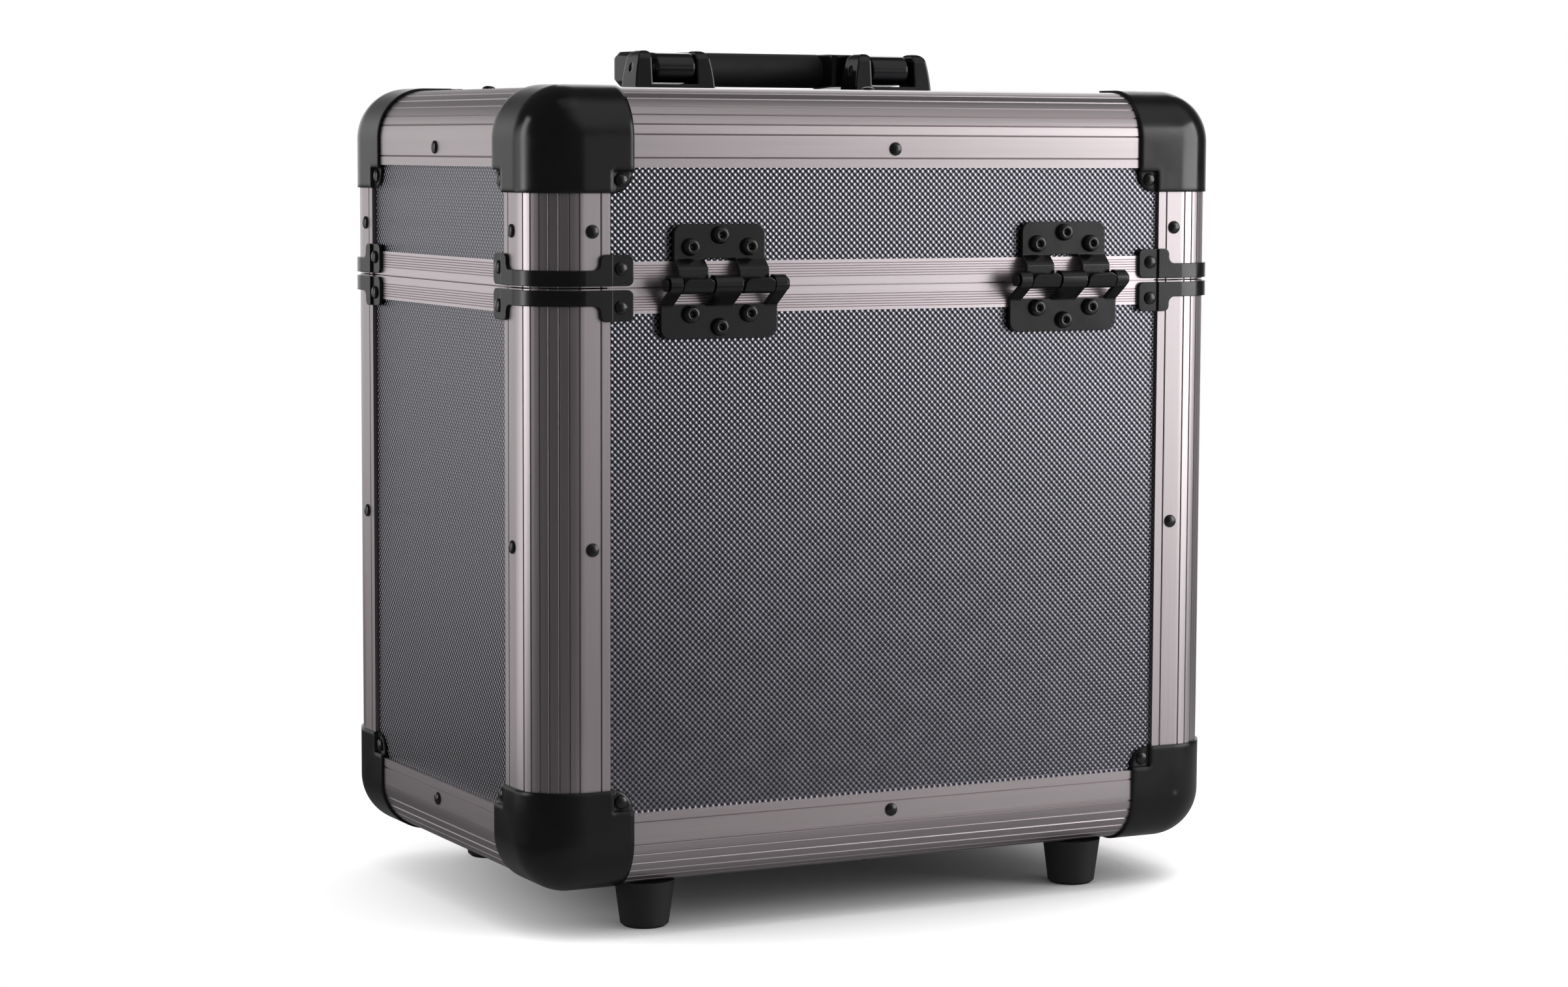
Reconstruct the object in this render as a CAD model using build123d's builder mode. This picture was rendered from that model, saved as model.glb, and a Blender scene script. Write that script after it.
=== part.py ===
"""Record carrying case: an aluminium-edged box with a hinged lid, draw latches and a folding handle.

Frame: origin on the floor under the centre of the box, +Z up, +Y towards the hinges, -Y towards the latches.
All sizes are in millimetres.
"""

import os
from math import acos, atan2, cos, degrees, radians, sin, tan

from build123d import *

# --- overall box -------------------------------------------------------------
case_width = 370.0  # X, over the aluminium edges
case_depth = 245.0  # Y, over the aluminium edges
body_height = 280.5  # bottom edge to the body rim
lid_height = 91.5  # lid rim to the top edge
seam_gap = 0.7  # daylight between the two rims
foot_height = 22.4  # floor to the bottom edge

# --- aluminium edge profiles and panels --------------------------------------
edge_radius = 24.0  # outer rounding of every long edge
edge_leg = 36.9  # how far each leg reaches from the outer corner
skin = 1.8  # wall of the profile
chamber_wall = 1.5  # inner arc and webs of the profile
panel_thickness = 5.0
panel_gap = 0.1  # assembly clearance at the edges of a panel
corner_cut = 37.0  # profiles stop this far from the corner of the box
groove_width = 0.9
groove_depth = 0.5
arc_groove_count = 7
arc_groove_first = 5.5  # degrees round the arc from leg A
arc_groove_pitch = 11.4  # degrees
leg_groove_place = 32.4  # from the outer corner, on both legs

# --- rim strips ----------------------------------------------------------------
rim_inset = 1.0  # face of the strip behind the face of the edge profiles
rim_height = 11.6
rim_wall = 1.5
tongue_thickness = 1.5
tongue_height = 3.5
tongue_clearance = 0.6
rim_groove_count = 6
rim_groove_pitch = 1.2
rim_groove_width = 0.5
rim_groove_depth = 0.3
rim_plain_band = 3.9  # from the seam to the first fine groove

# --- ball corners ----------------------------------------------------------------
corner_reach = 48.5  # from the outer corner of the box along each edge
corner_sheet = 1.2  # pressed steel: the shell, the step walls and the riveted pads
corner_pad_radius = 9.5
corner_rivet_place = 42.6  # from both edges

# --- rim brackets -------------------------------------------------------------------
bracket_seam_gap = 0.6  # rim to the seam side of its bracket
strap_height = 7.8  # rim to the other side of the strap
strap_thickness = 1.6
strap_reach = 37.6  # flat run of the strap over the edge profile
ear_start = 31.5  # from the outer corner
ear_end = 48.3
ear_height = 15.0  # rim to the far side of an ear
ear_radius = 2.8
ear_throat_radius = 3.4
ear_rivet_place = 42.0  # from the outer corner
ear_rivet_height = 8.5  # from the rim

# --- rivets ---------------------------------------------------------------------------
rivet_head_radius = 3.15
rivet_head_height = 1.6
rivet_sides = 8
rivet_taper = 35.0  # degrees
edge_rivet_place = 28.0  # from the outer corner
post_rivet_body = 160.9  # above the bottom edge
post_rivet_lid = 25.5  # above the lid rim

# --- hinges -------------------------------------------------------------------------------
hinge_offset = 93.0  # centre of each hinge from the middle of the box
hinge_sheet = 2.0
hinge_pin_radius = 2.3
hinge_pin_out = 8.0  # pin axis behind the back face
hinge_pin_above_seam = 1.7  # pin axis above the body rim
hinge_running_gap = 0.05
hinge_pin_overhang = 0.3  # shank past each side of the lower leaf
hinge_pin_head = 1.2
hinge_pin_head_radius = 3.0
upper_leaf_width = 46.8
upper_leaf_bottom = 13.5  # above the body rim
upper_leaf_height = 16.0
lower_leaf_width = 60.0
lower_leaf_top = 7.8  # below the body rim
lower_leaf_height = 15.8
leaf_corner_radius = 5.0
upper_strap_inner = 8.0  # X range of the two upper straps, from the hinge centre
upper_strap_outer = 23.4
upper_lip_angle = 340.0  # where the upper strap leaves the pin, from the outward direction
upper_lip_length = 4.2
upper_lip_radius = 2.5
upper_strap_knee = 5.0  # lower edge of the plate to the knee of an upper strap
lower_curl_end = 200.0  # where a lower strap ends, from the outward direction
lower_strap_middle = 7.0  # half width of the middle lower strap
lower_strap_inner = 23.8
hinge_rivet_radius = 4.2
hinge_rivet_height = 3.0
hinge_rivet_bore = 1.3
hinge_rivet_spread = 15.0
upper_rivet_rows = (5.3, 10.8)  # above the lower edge of the upper plate
lower_rivet_rows = (4.3, 10.4)  # below the upper edge of the lower plate

# --- handle -------------------------------------------------------------------------------------
handle_bracket_offset = 61.2  # centre of each bracket from the middle of the box
handle_bracket_width = 43.4
handle_bracket_depth = 17.5
handle_bracket_height = 19.9  # above the top of the box
handle_pivot_height = 11.5  # above the top of the box
handle_cheek = 9.4
handle_base = 5.1  # floor of the bracket
handle_pin_radius = 2.0
handle_pin_recess = 2.0  # pin end in from the foot of its bracket
handle_hub_radius = 7.3
handle_side_gap = 1.2
handle_grip_reach = 36.0  # pivot axis to grip axis
handle_grip_radius = 8.6
handle_core_radius = 5.5
handle_draft = 6.0  # degrees on the front and back of a bracket
handle_bow = 15.0  # degrees that the outer side of a bracket leans in at the crest
handle_crest_radius = 4.5  # crest of a bracket in elevation
handle_top_radius = 5.0  # top of a bracket seen from the side
handle_cheek_radius = 2.0  # inner top edge of a cheek
handle_shoulder_lip = 0.5  # how far a shoulder stands over the grip
handle_corner_radius = 6.0
handle_throat_radius = 3.0
handle_end_chamfer = 2.5
handle_screw_radius = 2.0
handle_screw_head_radius = 3.6
handle_screw_grip = 3.5  # how far a screw enters its bracket
handle_shoulder_start = 17.4  # pivot axis to the near side of a shoulder
handle_grip_half = 39.5  # half length of the soft grip

# --- latches ---------------------------------------------------------------------------------------
latch_offset = 93.0
latch_width = 37.8  # over the ears
latch_sheet = 1.5
latch_base_top = 13.5  # below the body rim
latch_base_height = 50.0
latch_pivot_out = 7.0  # lever pivot in front of the front face
latch_pivot_below = 22.5  # lever pivot below the body rim
latch_crank = 8.0  # lever pivot to hook pivot
latch_crank_angle = 18.0  # degrees past dead centre when closed
latch_pin_radius = 1.8
latch_running_gap = 0.05
latch_side_gap = 0.2
latch_head = 1.0  # height of a pivot rivet's head, and how far it stands over the pin
latch_ear_radius = 5.0
latch_ear_foot = 9.5  # half length of an ear where it meets the base plate
lever_face_out = 10.5  # inner side of the lever face
lever_length = 38.0  # pivot to the free end
lever_face_top = 16.0  # pivot to the top of the face
lever_lip_length = 5.0
lever_lip_angle = 25.0  # degrees off the face
lever_lip_radius = 4.0
hook_half_width = 12.0
hook_sheet = 2.0
hook_inner_out = 5.2
hook_top_above_seam = 11.3
hook_nose_out = 0.9  # free end of the claw in front of the front face
hook_curl_end = 30.0  # degrees round the pin from the outward direction
hook_curl_sweep = 240.0
keeper_above_seam = 1.8  # lower end of the keeper above the lid rim
keeper_height = 22.0
latch_rivet_margin = 5.0  # rivet centre to the end of a latch plate
latch_base_spread = 20.0  # between the two rivets of a row
keeper_spread = 28.0
keeper_shelf_gap = 0.5

# --- feet and lining ------------------------------------------------------------------------------------
foot_x = 118.3
foot_y = 95.5
foot_top_radius = 14.4
foot_base_radius = 11.4
foot_chamfer = 1.5
foot_screw_radius = 2.0
foot_screw_head_radius = 4.0
screw_head_height = 2.4
lining_thickness = 2.0
pad_thickness = 4.0
lining_gap = 0.1

# --- derived places ---------------------------------------------------------------------------------------
half_x = case_width / 2
half_y = case_depth / 2
bottom = foot_height
body_rim = bottom + body_height
lid_rim = body_rim + seam_gap
top = lid_rim + lid_height
panel_out = skin  # outer face of a panel, behind the face of the box
panel_in = skin + panel_thickness  # inner face of a panel, behind the face of the box
hinge_pin_y = half_y + hinge_pin_out
hinge_pin_z = body_rim + hinge_pin_above_seam
handle_pivot_z = top + handle_pivot_height
corners = [(1, 1), (-1, 1), (-1, -1), (1, -1)]
sides = {"back": (0, 1), "front": (0, -1), "right": (1, 0), "left": (-1, 0)}


def polar(centre, radius, angle):
    return centre + Vector(cos(radians(angle)), sin(radians(angle))) * radius


def save(part, name):
    """Labels a finished piece and writes its STEP file."""
    part.label = name
    export_step(part, f"parts/{name}.step")


# ---------------------------------------------------------------------------
# Aluminium edge profiles
# ---------------------------------------------------------------------------


def quarter_ring(near, far):
    """Draws the rounded corner between two insets."""
    arc_centre = (edge_radius, edge_radius)
    with BuildLine() as outline:
        outer = CenterArc(arc_centre, edge_radius - near, 180, 90)
        inner = CenterArc(arc_centre, edge_radius - far, 180, 90)
        Line(outer @ 0, inner @ 0)
        Line(outer @ 1, inner @ 1)
    make_face(outline.edges())


def corner_band(near, far, reach):
    """Draws the strip between two insets that follows both legs and the rounded corner."""
    quarter_ring(near, far)
    leg = reach - edge_radius
    with Locations((edge_radius + leg / 2, (near + far) / 2)):
        Rectangle(leg, far - near)
    with Locations(((near + far) / 2, edge_radius + leg / 2)):
        Rectangle(far - near, leg)


def v_groove(place, angle, width, depth):
    """Cuts a V notch into a surface whose outward normal points along angle."""
    with Locations(Location((place[0], place[1], 0), (0, 0, angle))):
        Polygon((0, -width / 2), (0, width / 2), (-depth, 0), align=None, mode=Mode.SUBTRACT)


def edge_section():
    """Draws the edge profile: outer skin, inner arc and two webs that close a chamber."""
    corner_band(0, skin, edge_leg)
    quarter_ring(panel_in - chamber_wall, panel_in)
    web_middle = (skin / 2 + panel_in) / 2
    web_length = panel_in - skin / 2
    with Locations((edge_radius - chamber_wall / 2, web_middle)):
        Rectangle(chamber_wall, web_length)
    with Locations((web_middle, edge_radius - chamber_wall / 2)):
        Rectangle(web_length, chamber_wall)
    for index in range(arc_groove_count):
        turn = arc_groove_first + arc_groove_pitch * index
        angle = 270 - turn
        place = (
            edge_radius + edge_radius * cos(radians(angle)),
            edge_radius + edge_radius * sin(radians(angle)),
        )
        v_groove(place, angle, groove_width, groove_depth)
    v_groove((leg_groove_place, 0), 270, groove_width, groove_depth)
    v_groove((0, leg_groove_place), 180, groove_width, groove_depth)


def edge_profile(corner, leg_a, leg_b, run, length):
    """One profile that starts with its outer corner at a point and runs along a direction."""
    normal = Vector(*leg_a).cross(Vector(*leg_b))
    with BuildPart() as profile:
        with BuildSketch(Plane(origin=corner, x_dir=leg_a, z_dir=normal)):
            edge_section()
        extrude(amount=length, dir=run)
    return profile.part


def posts(low, high):
    """The four upright profiles between two heights, as separate solids of one piece."""
    with BuildPart() as group:
        for sx, sy in corners:
            corner = (sx * half_x, sy * half_y, low)
            add(edge_profile(corner, (-sx, 0, 0), (0, -sy, 0), (0, 0, 1), high - low))
    return group.part


def level_edges(prefix, height, inward):
    """The four horizontal profiles at one end of the box; inward is the way into the box."""
    for name, (sx, sy) in sides.items():
        if sy:
            corner = (-(half_x - corner_cut), sy * half_y, height)
            profile = edge_profile(
                corner, (0, 0, inward), (0, -sy, 0), (1, 0, 0), case_width - 2 * corner_cut
            )
        else:
            corner = (sx * half_x, -(half_y - corner_cut), height)
            profile = edge_profile(
                corner, (-sx, 0, 0), (0, 0, inward), (0, 1, 0), case_depth - 2 * corner_cut
            )
        cut_foot_holes(profile, f"{prefix}_edge_{name}", height)


def cut_foot_holes(profile, name, height):
    """Writes a horizontal profile, with the foot screws' holes through a bottom one."""
    with BuildPart() as drilled:
        add(profile)
        if height == bottom:
            with Locations(*foot_places(bottom)):
                Cylinder(foot_screw_radius, 3 * skin, mode=Mode.SUBTRACT)
    save(drilled.part, name)


# ---------------------------------------------------------------------------
# Panels
# ---------------------------------------------------------------------------


def foot_places(height):
    return [(sx * foot_x, sy * foot_y, height) for sx, sy in corners]


def wall_panels(prefix, low, high):
    """The four upright panels of the body or the lid."""
    for name, (sx, sy) in sides.items():
        along = (half_x if sy else half_y) - edge_radius - panel_gap
        with BuildPart() as panel:
            reach = (half_x if sx else half_y) - panel_out - panel_thickness / 2
            with Locations((sx * reach, sy * reach, (low + high) / 2)):
                if sy:
                    Box(2 * along, panel_thickness, high - low)
                else:
                    Box(panel_thickness, 2 * along, high - low)
        save(panel.part, f"{prefix}_{name}_panel")


def flat_panel(name, height, hole_places, hole_radius):
    """The bottom or the top panel, drilled for the screws that pass through it."""
    with BuildPart() as panel:
        with Locations((0, 0, height)):
            Box(
                2 * (half_x - edge_radius - panel_gap),
                2 * (half_y - edge_radius - panel_gap),
                panel_thickness,
            )
        with Locations(*[(x, y, height) for x, y, _ in hole_places]):
            Cylinder(hole_radius, 2 * panel_thickness, mode=Mode.SUBTRACT)
    save(panel.part, name)


# ---------------------------------------------------------------------------
# Rim strips
# ---------------------------------------------------------------------------


def rim_section(up):
    """Draws a rim strip with X as the inset and Y as the height over the seam side.

    up is 1 on the lid, whose channel takes the tongue, and -1 on the body, which carries it.
    """
    inner = panel_in + rim_wall
    web_low = tongue_height + tongue_clearance if up > 0 else 0
    for low_x, high_x in ((rim_inset, panel_out), (panel_in, inner)):
        with Locations(((low_x + high_x) / 2, up * rim_height / 2)):
            Rectangle(high_x - low_x, rim_height)
    with Locations(((rim_inset + inner) / 2, up * (web_low + rim_wall / 2))):
        Rectangle(inner - rim_inset, rim_wall)
    if up < 0:
        middle = (panel_out + panel_in) / 2
        with Locations((middle, tongue_height / 2 - rim_wall / 2)):
            Rectangle(tongue_thickness, tongue_height + rim_wall)
    for index in range(rim_groove_count):
        level = up * (rim_plain_band + rim_groove_pitch * index)
        v_groove((rim_inset, level), 180, rim_groove_width, rim_groove_depth)


def rim_strips(height, up):
    """The four rim strips of the body or the lid, as separate solids of one piece."""
    with BuildPart() as strips:
        for sx, sy in sides.values():
            run = (abs(sy), abs(sx), 0)
            half_run = (half_x if sy else half_y) - corner_cut
            start = Vector(sx * half_x, sy * half_y, height) - Vector(*run) * half_run
            inward = (-sx, -sy, 0)
            normal = Vector(*inward).cross(Vector(0, 0, 1))
            with BuildSketch(Plane(origin=start, x_dir=inward, z_dir=normal)):
                rim_section(up)
            extrude(amount=2 * half_run, dir=run)
    return strips.part


# ---------------------------------------------------------------------------
# Ball corners and rim brackets
# ---------------------------------------------------------------------------


def rounded_corner(size, grow):
    """A block on the +X +Y top corner of the box, grown outwards, with its outer edges rounded."""
    with BuildPart() as block:
        with Locations((half_x + grow, half_y + grow, top + grow)):
            Box(size + grow, size + grow, size + grow, align=(Align.MAX, Align.MAX, Align.MAX))
        tip = (half_x + grow, half_y + grow, top + grow)
        touching = block.edges().sort_by_distance(tip)[:3]
        fillet(touching, radius=edge_radius + grow)
    return block.part


def corner_faces():
    """The three faces that meet at the +X +Y top corner: planes with X and Y along the edges."""
    point = (half_x, half_y, top)
    return [
        Plane(origin=point, x_dir=(-1, 0, 0), z_dir=(0, 0, 1)),
        Plane(origin=point, x_dir=(0, 0, -1), z_dir=(1, 0, 0)),
        Plane(origin=point, x_dir=(0, 0, -1), z_dir=(0, 1, 0)),
    ]


def inward_signs(plane):
    """Signs that turn distances from the corner into this plane's own coordinates."""
    middle = plane.to_local_coords(Vector(0, 0, top - half_y))
    return (1 if middle.X > 0 else -1, 1 if middle.Y > 0 else -1)


def pocket_square(plane, low, high):
    """A square on a face of the corner, between two distances from both edges."""
    sx, sy = inward_signs(plane)
    with Locations(((low + high) / 2 * sx, (low + high) / 2 * sy)):
        Rectangle(high - low, high - low)


def ball_corner():
    """The protector of the +X +Y top corner: a ball shell with a riveted pocket on each face."""
    pocket = corner_cut + corner_sheet
    with BuildPart() as protector:
        add(rounded_corner(corner_reach, corner_sheet))
        add(rounded_corner(2 * corner_reach, 0), mode=Mode.SUBTRACT)
        for plane in corner_faces():
            with BuildSketch(plane.offset(-0.5)):
                pocket_square(plane, pocket, corner_reach + 1)
            extrude(amount=corner_sheet + 1, mode=Mode.SUBTRACT)
        for plane in corner_faces():
            with BuildSketch(plane.offset(-panel_out)):
                pocket_square(plane, corner_cut, corner_reach)
            extrude(amount=corner_sheet)
            with BuildSketch(plane.offset(-panel_out)):
                pocket_square(plane, corner_cut, corner_reach)
                pocket_square_cut(plane, pocket)
            extrude(amount=panel_out + corner_sheet)
            round_pad(protector, plane)
    return protector.part


def pocket_square_cut(plane, low):
    """Takes the open part of a pocket out of the current sketch."""
    sx, sy = inward_signs(plane)
    size = corner_reach - low
    with Locations(((low + size / 2 + 1) * sx, (low + size / 2 + 1) * sy)):
        Rectangle(size + 2, size + 2, mode=Mode.SUBTRACT)


def round_pad(protector, plane):
    """Rounds the free corner of a pocket's pad."""
    sx, sy = inward_signs(plane)
    tip = plane.from_local_coords(Vector(corner_reach * sx, corner_reach * sy, -panel_out))
    edge = protector.edges().filter_by(Axis((0, 0, 0), plane.z_dir)).sort_by_distance(tip)[0]
    fillet(edge, radius=corner_pad_radius)


def to_corner(part, sx, sy, upper):
    """A copy of a piece of the +X +Y top corner, mirrored to another corner of the box."""
    with BuildPart() as copy:
        add(part)
        if sx < 0:
            mirror(about=Plane.YZ, mode=Mode.REPLACE)
        if sy < 0:
            mirror(about=Plane.XZ, mode=Mode.REPLACE)
        if not upper:
            mirror(about=Plane.XY.offset((bottom + top) / 2), mode=Mode.REPLACE)
    return copy.part


def bracket_outline(up):
    """Draws one leg of a rim bracket in elevation: X along the face from the corner, Y up the box."""
    with BuildSketch(mode=Mode.PRIVATE) as outline:
        Polygon(
            (-strap_reach, up * bracket_seam_gap),
            (ear_end, up * bracket_seam_gap),
            (ear_end, up * ear_height),
            (ear_start, up * ear_height),
            (ear_start, up * strap_height),
            (-strap_reach, up * strap_height),
            align=None,
        )
        tips = outline.vertices().filter_by_position(Axis.X, ear_start - 1, ear_end + 1)
        throat = tips.sort_by_distance((ear_start, up * strap_height))[0]
        fillet([tip for tip in tips if tip != throat], radius=ear_radius)
        throat = outline.vertices().sort_by_distance((ear_start, up * strap_height))[0]
        fillet(throat, radius=ear_throat_radius)
    return outline.sketch


def rim_bracket(seam, up):
    """The strap round the +X +Y upright edge at the seam, with one riveted ear on each face."""
    section_plane = Plane(origin=(half_x, half_y, seam), x_dir=(-1, 0, 0), z_dir=(0, 0, 1))
    face = Plane(origin=(half_x, half_y + strap_thickness, seam), x_dir=(-1, 0, 0), z_dir=(0, 1, 0))
    diagonal = Plane(origin=(half_x, half_y, seam), z_dir=(1, -1, 0))
    ear_length = ear_end - corner_cut
    with BuildPart() as bracket:
        with BuildSketch(section_plane):
            quarter_ring(-strap_thickness, 0)
            with Locations(((edge_radius + strap_reach) / 2, -strap_thickness / 2)):
                Rectangle(strap_reach - edge_radius, strap_thickness)
            with Locations((corner_cut + ear_length / 2, rim_inset - strap_thickness / 2)):
                Rectangle(ear_length, strap_thickness)
        extrude(amount=up * ear_height)
        with BuildSketch(face):
            add(bracket_outline(up))
        extrude(amount=-edge_radius - strap_thickness, mode=Mode.INTERSECT)
        mirror(about=diagonal)
    return bracket.part


# ---------------------------------------------------------------------------
# Rivets
# ---------------------------------------------------------------------------


def rivet_head(radius, height, bore=0.0):
    """A rivet head on the XY plane, pointing up, with flat sides because there are many copies."""
    with BuildPart() as head:
        with BuildSketch():
            RegularPolygon(radius, rivet_sides)
        extrude(amount=height, taper=rivet_taper)
        if bore:
            with BuildSketch():
                RegularPolygon(bore, rivet_sides)
            extrude(amount=height, mode=Mode.SUBTRACT)
    return head.part


def corner_rivet_places(upper):
    """Seats of the rivets in the pockets of four ball corners, as planes that face outwards."""
    level = top if upper else bottom
    sign = 1 if upper else -1
    depth = panel_out - corner_sheet
    place = corner_rivet_place
    seats = []
    for sx, sy in corners:
        x, y = sx * half_x, sy * half_y
        z_low = level - sign * place
        seats.append(Plane((x - sx * place, y - sy * place, level - sign * depth), z_dir=(0, 0, sign)))
        seats.append(Plane((x - sx * place, y - sy * depth, z_low), z_dir=(0, sy, 0)))
        seats.append(Plane((x - sx * depth, y - sy * place, z_low), z_dir=(sx, 0, 0)))
    return seats


def ear_rivet_places(seam, up):
    """Seats of the rivets in the ears of four rim brackets."""
    depth = rim_inset - strap_thickness
    level = seam + up * ear_rivet_height
    seats = []
    for sx, sy in corners:
        x, y = sx * half_x, sy * half_y
        seats.append(Plane((x - sx * ear_rivet_place, y - sy * depth, level), z_dir=(0, sy, 0)))
        seats.append(Plane((x - sx * depth, y - sy * ear_rivet_place, level), z_dir=(sx, 0, 0)))
    return seats


def edge_rivet_places(level, sign, post_height):
    """Seats of the rivets that hold the edge profiles: mid-span on every leg, and on the posts."""
    seats = []
    for sx, sy in sides.values():
        x, y = sx * half_x, sy * half_y
        face = (sx, sy, 0)
        inward = (sx * (half_x - edge_rivet_place), sy * (half_y - edge_rivet_place))
        seats.append(Plane((x, y, level - sign * edge_rivet_place), z_dir=face))
        seats.append(Plane((*inward, level), z_dir=(0, 0, sign)))
    for sx, sy in corners:
        x, y = sx * half_x, sy * half_y
        seats.append(Plane((x - sx * edge_rivet_place, y, post_height), z_dir=(0, sy, 0)))
        seats.append(Plane((x, y - sy * edge_rivet_place, post_height), z_dir=(sx, 0, 0)))
    return seats


def latch_rivet_places(out, spread, levels):
    """Seats of the rivets on the latch plates: how far out, how far apart, heights from the rim."""
    return [
        Plane((middle + side * spread / 2, -half_y - out, body_rim + level), z_dir=(0, -1, 0))
        for middle in (-latch_offset, latch_offset)
        for side in (-1, 1)
        for level in levels
    ]


def rivets(seats, head):
    """One head on each seat."""
    with BuildPart() as group:
        for seat in seats:
            add(head.moved(seat.location))
    return group.part


# ---------------------------------------------------------------------------
# Hinges
# ---------------------------------------------------------------------------

curl_radius = hinge_pin_radius + hinge_running_gap + hinge_sheet / 2
leaf_middle = hinge_sheet / 2 - rim_inset
pin_centre = Vector(hinge_pin_out, hinge_pin_above_seam)


def hinge_plane(x):
    """Across the hinge: X points out of the back face, Y up, from the body rim."""
    return Plane(origin=(x, half_y, body_rim), x_dir=(0, 1, 0), z_dir=(1, 0, 0))


upper_lip_tip = polar(pin_centre, curl_radius, upper_lip_angle) + polar(
    Vector(0, 0), upper_lip_length, upper_lip_angle + 90
)


def upper_strap_path():
    """Middle line of an upper strap: off the plate, down behind the pin, under it and out."""
    knee = hinge_pin_out - curl_radius
    with BuildLine() as path:
        FilletPolyline(
            (leaf_middle, upper_leaf_bottom + 2),
            (leaf_middle, upper_leaf_bottom - 0.5),
            (knee, upper_leaf_bottom - upper_strap_knee),
            (knee, pin_centre.Y),
            radius=2,
        )
        CenterArc(pin_centre, curl_radius, 180, upper_lip_angle - 180)
        Line(polar(pin_centre, curl_radius, upper_lip_angle), upper_lip_tip)
    return path.line


def lower_strap_path():
    """Middle line of a lower strap: off the plate, straight out under the pin and over it."""
    root = Vector(leaf_middle, -lower_leaf_top)
    away = root - pin_centre
    touch_angle = degrees(atan2(away.Y, away.X) + acos(curl_radius / away.length))
    touch = polar(pin_centre, curl_radius, touch_angle)
    with BuildLine() as path:
        FilletPolyline(root - Vector(0, 3), root, touch, radius=2)
        CenterArc(pin_centre, curl_radius, touch_angle, lower_curl_end - touch_angle)
    return path.line


def strap(path, low, high, round_tip):
    """A bent strap of hinge sheet that covers a range along the pin, from the hinge centre."""
    with BuildPart() as piece:
        with BuildSketch(hinge_plane(low)):
            trace(path, line_width=hinge_sheet)
        extrude(amount=high - low)
        if round_tip:
            tip = hinge_plane((low + high) / 2).from_local_coords(upper_lip_tip)
            tip_face = piece.faces().sort_by_distance(tip)[0]
            fillet(tip_face.edges().sort_by(SortBy.LENGTH)[:2], radius=upper_lip_radius)
    return piece.part


def hinge_leaf(width, low, round_top, straps):
    """One hinge leaf centred on X = 0: a plate with its straps."""
    height = upper_leaf_height if round_top else lower_leaf_height
    plate_plane = Plane(origin=(0, half_y - rim_inset, body_rim), x_dir=(-1, 0, 0), z_dir=(0, 1, 0))
    with BuildPart() as leaf:
        with BuildSketch(plate_plane) as plate:
            with Locations((0, low + height / 2)):
                Rectangle(width, height)
            free = plate.vertices().group_by(Axis.Y)[-1 if round_top else 0]
            fillet(free, radius=leaf_corner_radius)
        extrude(amount=hinge_sheet)
        for path, start, end in straps:
            add(strap(path, start, end, round_top))
    return leaf.part


def hinge_pin():
    """A pin with a flat head at each end, along X and centred on X = 0."""
    length = lower_leaf_width + 2 * hinge_pin_overhang
    with BuildPart() as pin:
        with Locations((0, hinge_pin_y, hinge_pin_z)):
            Cylinder(hinge_pin_radius, length, rotation=(0, 90, 0))
        for side in (-1, 1):
            with Locations((side * (length + hinge_pin_head) / 2, hinge_pin_y, hinge_pin_z)):
                Cylinder(hinge_pin_head_radius, hinge_pin_head, rotation=(0, 90, 0))
    return pin.part


def at_each(part, offset):
    """Copies of a piece on both sides of the middle of the box."""
    with BuildPart() as pair:
        with Locations((-offset, 0, 0), (offset, 0, 0)):
            add(part)
    return pair.part


# ---------------------------------------------------------------------------
# Handle
# ---------------------------------------------------------------------------

panel_face_top = top - panel_out
handle_window = handle_bracket_width - 2 * handle_cheek
grip_axis_y = -handle_grip_reach


def bracket_elevation(height):
    """Draws a handle bracket seen along Y, on its foot: bowed outer sides, round crests, a window."""
    lean = sin(radians(handle_bow))
    bow_radius = (height - handle_crest_radius * (1 - lean)) / lean
    with BuildSketch(mode=Mode.PRIVATE) as elevation:
        with BuildLine() as outline:
            bow = JernArc((handle_bracket_width / 2, 0), (0, 1), bow_radius, handle_bow)
            crest = JernArc(bow @ 1, bow % 1, handle_crest_radius, 90 - handle_bow)
            Line(crest @ 1, (0, height))
            Line((0, 0), bow @ 0)
            mirror(about=Plane.YZ)
        make_face()
        with Locations((0, handle_base)):
            Rectangle(handle_window, height, align=(Align.CENTER, Align.MIN), mode=Mode.SUBTRACT)
        for side in (-1, 1):
            ridge = (side * handle_window / 2, height)
            fillet(elevation.vertices().sort_by_distance(ridge)[0], radius=handle_cheek_radius)
    return elevation.sketch


def bracket_side(height):
    """Draws a handle bracket seen along X, on its foot, with a round top."""
    foot = handle_bracket_depth / 2
    crown = foot - height * tan(radians(handle_draft))
    with BuildSketch(mode=Mode.PRIVATE) as side:
        Polygon((-foot, 0), (foot, 0), (crown, height), (-crown, height), align=None)
        fillet(side.vertices().group_by(Axis.Y)[-1], radius=handle_top_radius)
    return side.sketch


def handle_bracket():
    """One bracket centred on X = 0: its two views cut from one another, drilled for pin and screws."""
    height = top + handle_bracket_height - panel_face_top
    foot = (0, 0, panel_face_top)
    with BuildPart() as bracket:
        with BuildSketch(Plane(origin=foot, x_dir=(1, 0, 0), z_dir=(0, -1, 0))):
            add(bracket_elevation(height))
        extrude(amount=handle_bracket_depth, both=True)
        with BuildSketch(Plane(origin=foot, x_dir=(0, 1, 0), z_dir=(1, 0, 0))):
            add(bracket_side(height))
        extrude(amount=handle_bracket_width, both=True, mode=Mode.INTERSECT)
        with Locations((0, 0, handle_pivot_z)):
            Cylinder(
                handle_pin_radius,
                2 * handle_bracket_width,
                rotation=(0, 90, 0),
                mode=Mode.SUBTRACT,
            )
        with Locations(*[(x, 0, panel_face_top) for x in handle_screw_offsets()]):
            Cylinder(handle_screw_radius, 2 * handle_screw_grip, mode=Mode.SUBTRACT)
    return bracket.part


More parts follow.
